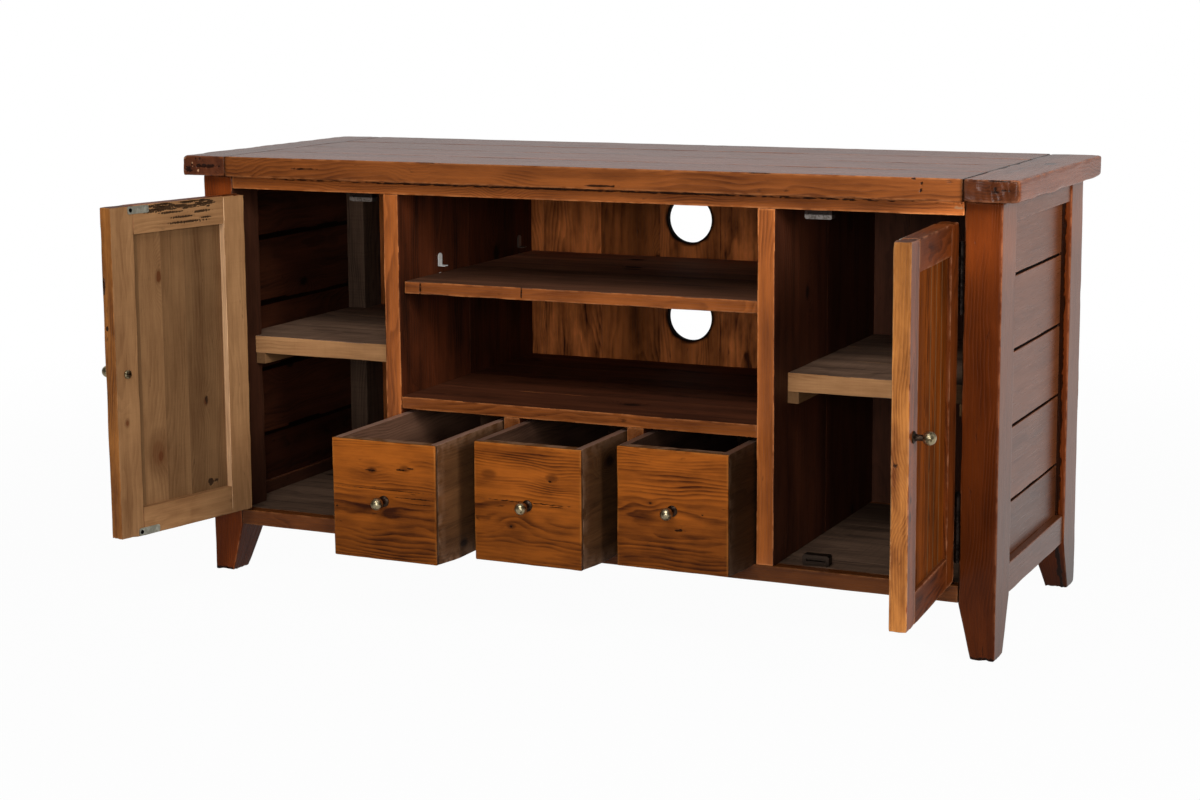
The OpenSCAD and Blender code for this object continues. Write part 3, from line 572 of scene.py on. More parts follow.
def plain_boards(node, along, finish, slot="stained_pine", body="case", tone=1.0, trim=0.0, turn=None, others=(),
                 knots=(), scars=(), tones=None, shape=None, **settings):
    """One board for each solid of a node. trim draws the ends in, to the shoulders of their tongues. Knots and scars
    go to the boards that they lie in. tones holds a tone for each board, and shape a change of its points."""
    boards = []
    for i, (low, high) in enumerate(solids(node, turn)):
        low[AXES[along]] += trim
        high[AXES[along]] -= trim
        own = [[m for m in group if ((np.array(m[0]) > low - NEAR) & (np.array(m[0]) < high + NEAR)).all()]
               for group in (knots, scars)]
        board = Board(low, high, along, seed=seed_of(node) + 17 * i, tone=tones[i] if tones else tone,
                      knots=own[0], scars=own[1], **settings)
        boards.append(board.moved(shape) if shape else board)
    make(node, boards, finish, others, body, None if turn is None else np.linalg.inv(turn))


# ---- the case
FRONT = -0.263  # where the marks on the top's front edge lie

# Scars (place, half sizes and depth in millimetres) of the first plank's and of the two ends' front edges
NAILS = [((0.547, FRONT, 0.6986), (3, 4, 2.5), 1.0), ((0.5585, FRONT, 0.6916), (2.4, 4, 2.4), 1.0),
         ((0.5573, FRONT, 0.682), (2.2, 4, 2.2), 1.0), ((0.31, -0.262, 0.6995), (22, 4, 1.0), 0.4),
         ((-0.24, -0.262, 0.6995), (24, 4, 0.6), 0.3), ((0.06, FRONT, 0.672), (40, 4, 0.8), 0.4),
         ((-0.47, FRONT, 0.684), (34, 4, 1.1), 0.3)]
CRACKS = {"left": [((-0.655, FRONT, 0.683), (26, 6, 3), 1.5), ((-0.69, FRONT, 0.676), (10, 8, 5), 2.5),
                   ((-0.668, FRONT, 0.694), (18, 6, 2), 1.2)],
          "right": [((0.664, FRONT, 0.6865), (3, 5, 1.8), 1.0), ((0.66, FRONT, 0.6765), (14, 4, 0.7), -0.2),
                    ((0.676, FRONT, 0.6945), (22, 4, 0.6), -0.2), ((0.6975, FRONT, 0.685), (0.9, 4, 10), 0.3),
                    ((0.672, FRONT, 0.6725), (26, 4, 0.9), 0.4), ((0.672, FRONT, 0.6985), (24, 4, 0.8), 0.3)]}
# Middle, number of dark and of bare specks, longest speck in mm, seed, and depth of the worn ends
SPECKS = {"left": (-0.675, 9, 10, 3.5, 111, 1.2 * MM), "right": (0.672, 3, 0, 12, 112, 1.6 * MM)}


def top():
    """Four planks and two breadboard ends. The planks stop at their shoulders, where the ends begin."""
    inner = [box("top_end_left")[1][0], box("top_end_right")[0][0]]
    for i in range(1, 5):
        low, high = box(f"top_plank_{i}")
        low[0], high[0] = inner
        board = Board(low, high, "x", seed=100 + i, ease=3.2 * MM, sag=0.5 * MM, chips=14, tone=0.82,
                      patches=[((0.6, low[1], 0.685), (0.12, 0.02, 1), 1.3),
                               ((low[0], 0, 0.7), (0.0035, 1, 1), 0.3), ((high[0], 0, 0.7), (0.0035, 1, 1), 0.15)],
                      step=(0.004, 0.01, 0.003) if i == 1 else 0.012, scars=NAILS if i == 1 else ())
        make(f"top_plank_{i}", [board], TOP, [(STAIN, facing("y", -1))])
    pick = np.random.default_rng(55)
    for (side, (at, dark, bare, long, seed, gnaw)), seam_x in zip(SPECKS.items(), inner):
        scars = list(CRACKS[side])
        for i in range(dark + bare):
            size = (pick.uniform(1.2, long), 4, pick.uniform(0.6, 1.4))
            place = (at + pick.uniform(-0.022, 0.022), FRONT, pick.uniform(0.6735, 0.6985))
            scars.append((place, size, 0.9 if i < dark else -0.4))
        low, high = box("top_end_" + side)
        seam = (seam_x, 0.0, high[2])
        board = Board(low, high, "y", seed=seed, ease=8 * MM, sag=0.7 * MM, chips=12, tone=0.8, gnaw=gnaw,
                      step=(0.0025, 0.012, 0.0025), extra=((), np.arange(FRONT, -0.245, 0.0025), ()),
                      scars=scars + [(seam, (2.2, 290, 3), 0.15)], patches=[(seam, (0.003, 1, 1), 0.2)])
        make("top_end_" + side, [board], TOP,
             [(POLISHED, lambda at, normal: (normal[:, 1] < -0.5) & (at[:, 0] > 0))])


FOOT_TOP = box("side_bottom_rail_left")[0][2]
FOOT_SIZE = np.array([36, 45]) * MM
SHADE_LINE_IN = 13.5 * MM  # how far in from its outer face the dark line on a rear post's front lies: painted shade beside the planks
LEAF_THICK = 1.75 * MM
BED_WIDE = 6 * MM
LINE = 0.2 * MM  # half the width of a sharp step between two grid lines
# How much darker a post's inner face is: painted shade.
INNER_SHADE = 0.55
# The tone of each post but its outer side face, and how much darker it is towards its foot, lighter below nought:
# painted shade and painted light
POST_TONES = {"front_left": (1.0, -0.3), "front_right": (0.62, 0.35), "rear_left": (0.9, 0.1),
              "rear_right": (0.85, 0.1)}


def posts():
    """Each post is an eased bar whose two inner faces draw in below the rails. The front ones are let in for the
    hinge leaves."""
    hinges = solids("hinge_post_leaves")
    for corner, (tone, fade) in POST_TONES.items():
        depth, side = corner.split("_")
        front, s = depth == "front", SIDES[side]
        name = "post_" + corner
        low, high = box(name)
        outer = np.array([low[0] if s < 0 else high[0], low[1] if front else high[1]])
        inner = np.array([high[0] if s < 0 else low[0], high[1] if front else low[1]])
        share = FOOT_SIZE / np.abs(inner - outer)
        beds = [b for b in hinges if np.sign(b[0][0]) == s] if front else []
        bed_y = max((b[1][1] for b in beds), default=0.0)
        lines = [v + d for b in beds for v in (b[0][2], b[1][2]) for d in (-LINE, LINE)]
        marks = [((outer[0] - s * 0.02, outer[1], 0.001), (50, 50, 4), 0.8)]
        if not front:
            # A dark line down a rear post's front face beside the planks: painted shade.
            marks.append(((outer[0] - s * SHADE_LINE_IN, low[1], 0.4), (5.5, 4, 900), 0.2))
        # The lighter patch near the top is a painted highlight, and the darker one low on the front posts is painted
        # shade; the rear posts are darker at the foot.
        board = Board(low, high, "z", seed=seed_of(name), ease=4.5 * MM, sag=0.5 * MM, chips=9, tone=tone,
                      across="y", step=0.006, scars=marks, fade=fade, gnaw=2 * MM,
                      patches=[((*outer, 0.6), (1, 1, 0.04), 1.5),
                               ((*outer, 0.2), (1, 1, 0.1), 0.8) if front else ((*outer, 0.0), (1, 1, 0.09), 0.35)],
                      extra=((outer[0] - s * (SHADE_LINE_IN - 5 * MM), outer[0] - s * SHADE_LINE_IN),
                             (bed_y - LINE, bed_y + LINE), [FOOT_TOP] + lines))
        flat = board.flat
        board.wear[np.abs(flat[:, 0] - outer[0]) < 1e-6, 2] /= tone
        # The inner face is darkened: painted shade.
        board.wear[np.abs(flat[:, 0] - inner[0]) < 1e-6, 2] *= INNER_SHADE

        def shape(p):
            """Sinks the beds of the leaves, and below the rails draws both inner faces in evenly to the foot."""
            p = p.copy()
            for b in beds:
                let_in = ((flat[:, 2] > b[0][2]) & (flat[:, 2] < b[1][2]) & (flat[:, 1] < bed_y)
                          & (np.abs(flat[:, 0] - inner[0]) < BED_WIDE))
                p[let_in, 0] += s * np.clip(LEAF_THICK - np.abs(flat[let_in, 0] - inner[0]), 0, None)
            drop = np.clip(1 - p[:, 2] / FOOT_TOP, 0, 1)[:, None]
            p[:, :2] = outer + (p[:, :2] - outer) * (1 - drop * (1 - share))
            return p

        above = lambda at: at[:, 2] > FOOT_TOP
        in_bay = lambda at, normal: (normal[:, 0] * s < -0.5) & above(at)
        facing_bay = lambda at, normal: in_bay(at, normal) | (
            (normal[:, 1] < -0.5) & above(at) & (np.abs(at[:, 0]) < abs(outer[0]) - 0.02))
        # Faces toward the sides take the greyer side copy, painted shade and reflection, and the front posts' faces
        # into the bays take the bay copy, painted shade.
        make(name, [board.moved(shape)], POST,
             [(SIDE_SHADE, facing("x", s, 0.7)), (BAY_SHADE, in_bay) if front else (GREY_RAW, facing_bay)])


def rails():
    """The front rails are more worn than the rear and side ones. A dark line along the upper one's top edge is
    painted shadow under the top, and a lighter patch at its right end is a painted highlight.
    """
    low, high = box("front_top_rail")
    # A long dark scar under the top's edge is painted shadow, and the patch at the right end is a painted highlight.
    marks = [((0.6085, low[1], 0.657), (9, 6, 2), -0.8), ((0.0, low[1], high[2] - 3.2 * MM), (680, 6, 1.3), 0.3)]
    plain_boards("front_top_rail", "x", STAIN, ease=2.4 * MM, sag=0.5 * MM, tone=1.3, chips=10,
                 step=(0.006, 0.008, 0.0025), scars=marks, patches=[((0.61, low[1], 0.655), (0.07, 1, 1), 2.3)])
    plain_boards("front_bottom_rail", "x", STAIN, ease=2.4 * MM, sag=0.5 * MM, tone=0.46, chips=10,
                 patches=[((-0.5, low[1], 0.08), (0.15, 1, 1), 1.55)])
    for height in ("top", "bottom"):
        plain_boards(f"rear_{height}_rail", "x", STAIN, ease=2.0 * MM)
    for side, s in SIDES.items():
        # The side rails take the greyer side copy, painted shade and reflection, and the lower rails' inner faces
        # take the bay copy, painted shade.
        plain_boards("side_top_rail_" + side, "y", SIDE_SHADE, ease=2.6 * MM, chips=6)
        plain_boards("side_bottom_rail_" + side, "y", SIDE_SHADE, ease=2.6 * MM, chips=6, tone=0.7,
                     others=[(BAY_SHADE, facing("x", -s, 0.3))])


# How much deeper the planks lie than their solids, the gaps between them, and how a lap shows behind each gap.
# The laps are toned near black and take a dark matt finish: painted shade in the joints
RECESS = 4.5 * MM
PLANK_GAP, LAP_SHOWN, LAP_DEEP = 4.5 * MM, 1.0 * MM, 1.6 * MM
PLANK_TONES = (0.6, 0.9, 0.95, 1.0, 1.0)


def shiplap():
    """Side planks. Each is a wide outer board and a thin tongue behind the joint above it. Their outer faces lie a
    little deeper between the posts than the solids', so that as much of the rear post's face shows as in the
    photo."""
    for side, s in SIDES.items():
        node = "side_planks_" + side
        boxes = sorted(solids(node), key=lambda b: b[0][2])
        boards = []
        for i, (low, high) in enumerate(boxes):
            (low if s < 0 else high)[0] -= s * RECESS
            outer_high = high.copy()
            if i + 1 < len(boxes):
                outer_high[2] = boxes[i + 1][0][2] - PLANK_GAP
                lap_low, lap_high = low.copy(), high.copy()
                lap_low[2] = outer_high[2] - LAP_SHOWN
                (lap_low if s < 0 else lap_high)[0] = (low[0] + high[0]) / 2
                # A lap is toned almost black: painted shade in the joint.
                boards.append(Board(lap_low, lap_high, "y", seed=340 + i, ease=0.6 * MM, chips=0, tone=0.04))
            boards.append(Board(low, outer_high, "y", seed=320 + i + 9 * (s > 0), ease=2.2 * MM, sag=0.12 * MM,
                                step=0.014, chips=6, tone=PLANK_TONES[i]))
        # Faces deeper than the laps' line take the dark matt copy, and inner faces take the bay or shaded copy:
        # painted shade.
        face = abs(boxes[0][1][0] if s > 0 else boxes[0][0][0])
        make(node, boards, SIDE_SHADE, [(SHELF_SHADE, lambda at, normal: np.abs(at[:, 0]) < face - LAP_DEEP),
                                  (BAY_SHADE if s > 0 else SHADED, facing("x", -s))])


def sheet_quads(points, wrap=False):
    """The quads over a grid of points, rows by columns."""
    rows, columns = points.shape[:2]
    number = np.arange(rows * columns).reshape(rows, columns)
    if wrap:
        number = np.concatenate([number, number[:, :1]], 1)
    return np.stack([number[:-1, :-1], number[:-1, 1:], number[1:, 1:], number[1:, :-1]], -1).reshape(-1, 4)


class HoledBoard:
    """A back board with round holes through it. Round each hole a square as wide as the board is a fan of rings: a
    point runs from the hole's circle to the square's edge. Plain sheets fill the rest, and walls run through the
    holes and round the board. It has the same fields as Board. A ring of painted shade, near black, lies round each
    hole and down its wall."""

    def __init__(self, low, high, centres, radius, sides=16, rings=6, ring=3.6 * MM):
        half, mid_x = (high[0] - low[0]) / 2, (high[0] + low[0]) / 2
        t, one = np.linspace(-1, 1, sides + 1)[:-1], np.ones(sides)
        square = np.concatenate([np.stack(p, 1) for p in ((t, -one), (one, t), (-t, one), (-one, -t))])
        circle = square / np.linalg.norm(square, axis=1, keepdims=True) * radius
        share = (np.linspace(0, 1, rings) ** 1.5)[:, None, None]
        fan = circle * (1 - share) + square * half * share
        across = np.linspace(-1, 1, sides + 1) * half + mid_x
        levels = np.concatenate([[low[2]], *([z - half, z + half] for z in centres), [high[2]]])
        rows = [np.linspace(a, b, math.ceil((b - a) / 0.014) + 1) for a, b in zip(levels[::2], levels[1::2])]
        sheets = []
        for y, way in ((low[1], -1), (high[1], 1)):
            for z in centres:
                sheet = np.stack([fan[..., 0] + mid_x, np.full(fan.shape[:2], y), fan[..., 1] + z], -1)
                sheets.append((sheet[:, ::way], True))
            for heights in rows:
                x, z = np.meshgrid(across, heights)
                sheets.append((np.stack([x, np.full(x.shape, y), z], -1)[:, ::-way], False))
        up = np.unique(np.concatenate(rows + [z + square[:, 1] * half for z in centres]).round(6))
        level = lambda values, at: np.full(len(values) - 1, at)
        edge = np.concatenate([np.stack(p, 1) for p in (
            (across[:-1], level(across, low[2])), (level(up, high[0]), up[:-1]),
            (across[:0:-1], level(across, high[2])), (level(up, low[0]), up[:0:-1]))])
        loops = [(circle + [mid_x, z], (low[1], high[1])) for z in centres] + [(edge, (high[1], low[1]))]
        for loop, order in loops:
            wall = [np.stack([loop[:, 0], np.full(len(loop), y), loop[:, 1]], -1) for y in order]
            sheets.append((np.stack(wall), True))
        self.points, self.quads = joined([(s.reshape(-1, 3), sheet_quads(s, wrap)) for s, wrap in sheets])
        self.grain = (self.points - (low + high) / 2)[:, [2, 0, 1]] + [4.2, 0.012, 0.05]
        far = np.min([np.hypot(self.points[:, 0] - mid_x, self.points[:, 2] - z) for z in centres], axis=0)
        # Near the hole and down its wall the tone falls almost to black: painted shade.
        tone = np.clip((far - radius - ring) / 0.002, 0.02, 1)
        self.wear = np.stack([far * 0, far * 0, tone], 1)
        self.knot = np.zeros((len(far), 3))


# Tones of the back boards, raised for the middle ones, are painted light. The patches paint the back darker under the
# top, painted shade, lighter lower down, painted light, and darker in a band at x = -0.1.
BACK_LIGHT_TONES = (1.0, 1.0, 1.2, 1.45, 1.0, 1.45, 1.3, 1.35, 1.0, 1.0)
BACK_PATCHES = [((-0.1, 0.2, 0.45), (0.04, 1, 1), 0.5), ((0.0, 0.2, 0.65), (1, 1, 0.05), 0.4),
               ((0.0, 0.2, 0.4), (1, 1, 0.06), 1.2)]


def inside():
    """Back boards, dividers, shelves, floor planks and cleats. A divider is cut in two at the front rail's notch."""
    behind = facing("y", 1)
    # The back's inner faces in the right bay take the bay copy, painted shade; its outer face takes the dark stain.
    in_bay = lambda at, normal: (normal[:, 1] < 0.2) & (at[:, 0] > 0.26)
    plain_boards("back_boards", "z", BACK_LIT, ease=1.2 * MM, step=0.02, tones=BACK_LIGHT_TONES, patches=BACK_PATCHES,
                 others=[(BAY_SHADE, in_bay), (DARK_STAIN_AND_SHADE, behind)])
    holes = [m for m in frame["record"]["mounts"] if m["name"].startswith("cable_hole")]
    board = HoledBoard(*box("back_cable_board"), sorted(m["pos_m"][2] for m in holes), holes[0]["dims"]["r_mm"] * MM)
    # The cable board's inner face takes the bright back copy, painted light; its outer face takes the dark stain, and
    # its hole walls take the dark matt copy, painted shade.
    make("back_cable_board", [board], BACK_LIT,
         [(DARK_STAIN_AND_SHADE, behind), (SHELF_SHADE, lambda at, normal: np.abs(normal[:, 1]) < 0.5)])
    rail_low, rail_high = box("front_top_rail")
    # Faces of the dividers and partitions that look into the bays, and all their parts deeper than the front, take
    # the dark copy: painted shade. The right divider's face into the right bay takes the shaded copy.
    flank = lambda at, normal: (np.abs(normal[:, 0]) > 0.2) | (at[:, 1] > -0.2)
    level = lambda at, normal: np.abs(normal[:, 2]) > 0.5
    for side in SIDES:
        node = "divider_" + side
        (low, high), rear = sorted(solids(node), key=lambda b: b[0][1])
        lower_high, upper_low = high.copy(), low.copy()
        lower_high[2] = rail_low[2]
        upper_low[1:] = (rail_high[1], rail_low[2] - 0.5 * MM)
        seed = seed_of(node)
        boards = [Board(low, lower_high, "z", seed=seed, ease=2.2 * MM, across="y", tone=1.5, step=0.01, chips=10),
                  Board(upper_low, high, "z", seed=seed + 1, ease=1.0 * MM, across="y"),
                  Board(*rear, "z", seed=seed + 2, ease=2.0 * MM, across="y")]
        shaded = [(SHADED, facing("x", 1, 0.2))] if side == "right" else []
        make(node, boards, STAIN, [(DARK_STAIN_AND_SHADE, flank)] + shaded)
        plain_boards("partition_" + side, "y", STAIN, others=[(DARK_STAIN_AND_SHADE, flank)], ease=1.6 * MM)
    shelf = dict(tone=1.1, chips=10, ease=2.2 * MM)
    # The fixed shelf's top and bottom take the dark matt copy: painted shade.
    plain_boards("fixed_shelf", "x", STAIN, others=[(SHELF_SHADE, level)], **shelf)
    # The adjustable shelf's top is painted darker at the front, painted shade, and lighter at the back, painted
    # light, evening out how the lamps fall on it.
    plain_boards("adjustable_shelf", "x", STAIN, others=[(SHELF_HIGH_LIT, level)], step=(0.003, 0.02, 0.005),
                 scars=[((-0.2736, -0.233, 0.497), (2.2, 6, 12), 1.2), ((-0.0934, -0.233, 0.497), (1.3, 6, 12), 0.5)],
                 patches=[((0, -0.13, 0.5), (1, 0.07, 1), 0.5), ((0, 0.14, 0.5), (1, 0.12, 1), 2.8)], **shelf)
    plain_boards("floor_planks", "x", GREY_RAW, "raw_pine", ease=1.6 * MM, tone=0.8)
    for side in SIDES:
        # A dark patch on the right side shelf, by the right door's hinge, is painted shade.
        plain_boards("side_shelf_" + side, "x", RAW, "raw_pine", others=[(GREY_RAW, level)], ease=2.2 * MM,
                     step=0.012, tone=1.5, patches=[((0.605, -0.2, 0.35), (0.05, 0.1, 1), 0.1)])
    plain_boards("shelf_cleats", "y", RAW, "raw_pine", tone=0.75)


TONGUE = 7.5 * MM  # the length of the tongues on the doors' rails
BEAD_PITCH, BEAD_HALF, BEAD_DEEP = 32 * MM, 1.6 * MM, 1.4 * MM


def beaded(board, panel_low):
    """Cuts the beads in a door panel's outer face: upright V lines, one pitch apart from its middle."""
    middle = (board.flat[:, 0].max() + board.flat[:, 0].min()) / 2
    off = np.abs((board.flat[:, 0] - middle + BEAD_PITCH / 2) % BEAD_PITCH - BEAD_PITCH / 2)
    line = np.clip(1 - off / BEAD_HALF, 0, 1) * (np.abs(board.flat[:, 1] - panel_low) < 1e-6)
    board.points[:, 1] += line * BEAD_DEEP
    board.wear[:, 2] *= 1 - 0.6 * (line > 0.5)
    return board


def wane():
    """The ragged marks of bark along the left door's top rail: short dark ones above, and a few long lines below."""
    pick = np.random.default_rng(77)
    rows = [((pick.uniform(-0.545, -0.412), -0.220, pick.uniform(0.6255, 0.6375)),
             (pick.uniform(4.0, 17.0), 4, pick.uniform(0.8, 2.0)), 1.2) for _ in range(60)]
    return rows + [((x, -0.220, z), (length, 4, thick), deep) for x, z, length, thick, deep in (
        (-0.489, 0.6045, 46, 2.0, 1.0), (-0.482, 0.613, 30, 1.6, 0.7), (-0.52, 0.619, 24, 2.0, 0.8),
        (-0.455, 0.622, 26, 1.8, 0.6), (-0.53, 0.6085, 14, 1.4, 0.6))]


DOOR_MARKS = {
    "left": dict(
        stiles=dict(scars=[((-0.3335, -0.242, 0.515), (4, 4, 16), 0.8), ((-0.3335, -0.238, 0.449), (4, 3, 7), 0.4),
                           ((-0.556, -0.220, 0.620), (2, 3, 2.2), 1.0), ((-0.556, -0.220, 0.601), (2, 3, 2.2), 1.0)],
                    knots=[((-0.352, -0.22, 0.30), 0.004, 0.6)], tones=(1.0, 0.98)),
        rails=dict(scars=wane()),
        panel=dict(scars=[((-0.535, -0.231, 0.173), (12, 4, 6), 0.5), ((-0.529, -0.231, 0.31), (3, 3, 6), 0.4)],
                   knots=[((-0.4227, -0.231, 0.2394), 0.021, 0.47), ((-0.4275, -0.231, 0.2334), 0.0055, 0.8),
                          ((-0.5276, -0.231, 0.308), 0.0045, 0.7)],
                   strips=((-0.491, 1.2), (-0.441, 1.25), (-0.394, 0.7)), tone=0.48)),
    # The right door's boards are toned darker than the left door's, its hinge stile darkest: painted shade. Its
    # stiles grow lighter towards the foot and darker at the free stile's top.
    "right": dict(
        stiles=dict(scars=[((0.3335, -0.2255, 0.342), (3, 2.4, 5), 0.6)],
                    knots=[((0.345, -0.24, 0.27), 0.005, 0.6)], tones=(0.76, 0.5), fade=-0.25,
                    patches=[((0.3335, -0.23, 0.62), (0.03, 1, 0.16), 0.8)]),
        rails=dict(tone=0.6), panel=dict(strips=((0.445, 1.15), (0.52, 0.9)), tone=0.42))}


def doors():
    """Each door is drawn shut. Its inside is raw, so are the halves of its frame's inner edges behind the panel, and
    the free edge is rubbed to a paler tan. On the hinge stile the edges behind the panel are a paler raw: a painted
    highlight."""
    for side, marks in DOOR_MARKS.items():
        body, s, turn = "door_" + side, SIDES[side], shut_turn(side)
        low, high = solids(body + "_panel", turn)[0]
        middle = (low + high) / 2

        def rebate(at, normal):
            """The frame's inner edges behind the panel."""
            return ((np.sign(middle - at) * normal)[:, [0, 2]].max(1) > 0.5) & (at[:, 1] > low[1])

        # Quads towards the free edge, at least an inset from the door's middle
        within = lambda at, inset: np.abs(at[:, 0]) < abs(middle[0]) - inset
        raw = lambda at, normal: (normal[:, 1] > 0.5) | rebate(at, normal)
        free = lambda at, normal: (normal[:, 0] * s < -0.5) & within(at, 0.06)
        sheen = lambda at, normal: (normal[:, 1] < -0.5) & within(at, 0.05)
        # The hinge stile's edges behind the panel take the paler raw: a painted highlight.
        pale = lambda at, normal: rebate(at, normal) & (np.abs(at[:, 0]) > abs(middle[0]))
        plain_boards(body + "_stiles", "z", DOOR, ease=2.4 * MM, sag=0.6 * MM, chips=12, across="x", gnaw=1.5 * MM,
                     body=body, turn=turn, step=(0.006, 0.004, 0.004), **marks["stiles"],
                     others=[(EDGE, free), (POLISHED, sheen), (RAW, raw), (RAW_HIGHLIGHT, pale)])
        plain_boards(body + "_rails", "x", DOOR, trim=TONGUE, ease=1.8 * MM, across="z", step=0.003, body=body,
                     turn=turn, others=[(RAW, raw)], **marks["rails"])
        beads = [middle[0] + i * BEAD_PITCH + d for i in range(-3, 4) for d in (-BEAD_HALF, 0, BEAD_HALF)]
        board = Board(low, high, "z", seed=seed_of(body), ease=0.6 * MM, chips=0, across="x", step=0.004,
                      extra=(beads, (), ()), **marks["panel"])
        make(body + "_panel", [beaded(board, low[1])], PANEL, [(RAW, raw)], body, turn=np.linalg.inv(turn))


# Knots (place, radius and softness) and scars (place, half length and half height in mm) of each drawer's front
DRAWER_FIGURE = {
    1: dict(knots=[((-0.232, 0.251), 0.0045, 0.5), ((-0.1755, 0.257), 0.005, 0.45)],
            scars=[((-0.233, 0.250), (10, 1.5)), ((-0.183, 0.2545), (11, 1.4)), ((-0.166, 0.258), (8, 1.2)),
                   ((-0.21, 0.222), (80, 0.5)), ((-0.16, 0.212), (34, 0.5)), ((-0.15, 0.204), (22, 0.4)),
                   ((-0.295, 0.19), (3, 1.2))]),
    2: dict(knots=[((-0.0645, 0.247), 0.0075, 0.38), ((0.041, 0.2496), 0.006, 0.45),
                   ((-0.0277, 0.171), 0.0045, 0.45)],
            scars=[((0.0, 0.209), (80, 0.5)), ((0.038, 0.244), (3, 2)), ((-0.0277, 0.170), (3, 2)),
                   ((0.05, 0.206), (18, 0.5))]),
    3: dict(knots=[((0.1766, 0.213), 0.003, 0.3), ((0.225, 0.305), 0.012, 0.3)],
            scars=[((0.2244, 0.176), (9, 1.8)), ((0.1766, 0.213), (3.4, 1.2)), ((0.26, 0.203), (2, 1.0))])}


LIFT_LONG, LIFT_HIGH = 60 * MM, 50 * MM  # the stretch in which the drawers' sides are drawn up


def drawers():
    """Each front is a plate the full width of the drawer, with a narrower plate behind it between the sides, whose
    lower edges are drawn up to the front's."""
    for i, marks in DRAWER_FIGURE.items():
        body = f"drawer_{i}"
        low, high = box(body + "_front")
        middle = (low[0] + high[0]) / 2
        sides = solids(body + "_box")
        rabbet_y = min(b[0][1] for b in sides)
        foot = sides[0][0][2]
        side_thick = sides[0][1][0] - sides[0][0][0]
        plate_high, tongue_low, tongue_high = high.copy(), low.copy(), high.copy()
        plate_high[1] = rabbet_y
        tongue_low[:2] += (side_thick, rabbet_y - 2 * MM - low[1])
        tongue_high[0] -= side_thick
        boards = [Board(low, plate_high, "x", seed=500 + i, ease=2.4 * MM, sag=0.6 * MM, chips=10, across="z",
                        step=0.0025, heart=(0.02, 0.05), tone=0.86, fade=0.4,
                        knots=[((x, low[1], z), r, share) for (x, z), r, share in marks["knots"]],
                        scars=[((x, low[1], z), (a, 4, c), 0.5) for (x, z), (a, c) in marks["scars"]],
                        patches=[((middle, low[1], 0.23), (0.05, 1, 0.03), 1.25)]),
                  Board(tongue_low, tongue_high, "x", seed=510 + i, ease=0.8 * MM, chips=0, across="z")]
        make(body + "_front", boards, FIGURED, [(BOX_SIDE, lambda at, normal: at[:, 1] > low[1] + 3 * MM)], body)

        def drawn_up(p):
            """Lifts a point by how far the front's foot is above the sides', less with its distance from there."""
            p = p.copy()
            behind, above = p[:, 1] - rabbet_y, p[:, 2] - foot
            share = np.clip(1 - behind / LIFT_LONG, 0, 1) * np.clip(1 - above / LIFT_HIGH, 0, 1)
            p[:, 2] += (low[2] - foot) * share
            return p

        inner = lambda at, normal: (middle - at[:, 0]) * normal[:, 0] > 0.02
        # The boxes are toned darker from the first drawer to the third: painted shade, deepest where the open right
        # door shades the third.
        plain_boards(body + "_box", "y", BOX_SIDE, body=body, ease=1.2 * MM, across="z", shape=drawn_up,
                     tone=0.95 - 0.26 * (i - 1), others=[(BOX_IN, inner), (RIM_HIGHLIGHT, facing("z", 1, 0.6))])
        plain_boards(body + "_bottom", "y", GREY_RAW, "raw_pine", body=body, ease=0.6 * MM)


# ---- fittings
def lathe(profile, centre, axis, sides=32):
    """A closed turned surface: profile holds (distance along the axis, radius) from one pole to the other, in
    millimetres."""
    axis = np.array(axis, float)
    side = np.cross(axis, [0.0, 0.0, 1.0])
    other = np.cross(axis, side)
    angle = np.linspace(0, 2 * math.pi, sides, endpoint=False)
    around = np.cos(angle)[:, None] * side + np.sin(angle)[:, None] * other
    profile = np.array(profile, float) * MM
    points = np.array(centre) + profile[:, :1, None] * axis + profile[:, 1:, None] * around[None]
    return points.reshape(-1, 3), sheet_quads(points, wrap=True)


def turned(name, parts, finishes, body, replaced=(), turn=None):
    """One piece from several closed surfaces: each is (points, quads, number of its finish)."""
    points, quads = joined([part[:2] for part in parts])
    number = np.concatenate([np.full(len(q), n, np.int32) for _, q, n in parts])
    declare(name, points, quads, finishes, number, body, replaced,
            None if turn is None else np.linalg.inv(turn))


# Profiles in millimetres: distance along the axis, and radius
BALL, BALL_OUT = 9.5, 21.5
NECK = [(0, 0), (0, 8.2), (0.3, 8.5), (1.1, 8.5), (1.5, 8.0), (2.4, 6.7), (3.1, 5.6), (4.2, 4.9), (6, 4.4),
        (9, 4.1), (12, 4.0), (13.4, 4.2), (13.8, 0)]
HEAD = [(0, 0), (0, 6.6), (0.5, 7.0), (1.6, 6.9), (2.6, 6.1), (3.2, 4.6), (3.5, 2.4), (3.5, 0)]
SCREW = [(0, 0), (0, 3.4), (0.25, 3.3), (0.45, 2.0), (0.5, 0)]
OUTWARD, INWARD = (0, -1, 0), (0, 1, 0)


def knob_parts(foot, wood):
    """A knob: a ball on a waisted neck and a stepped rose, with its screw's slotted head behind the wood, the slot a
    near-black bar of painted shade. foot is where its axis, which runs to -Y, meets the outer face."""
    angle = np.linspace(math.pi, 0, 25)
    ball = np.stack([BALL_OUT + BALL * np.cos(angle), BALL * np.sin(angle)], 1)
    back = np.array(foot) + [0, wood, 0]
    spans = ((-4.6, 4.6), (3.2, 3.56), (-0.55, 0.55))
    slot = box_skin(*(back[i] + np.array(span) * MM for i, span in enumerate(spans)))
    return [(*lathe(NECK, foot, OUTWARD), 1), (*lathe(ball, foot, OUTWARD), 0), (*lathe(HEAD, back, INWARD), 0),
            (*slot, 2)]


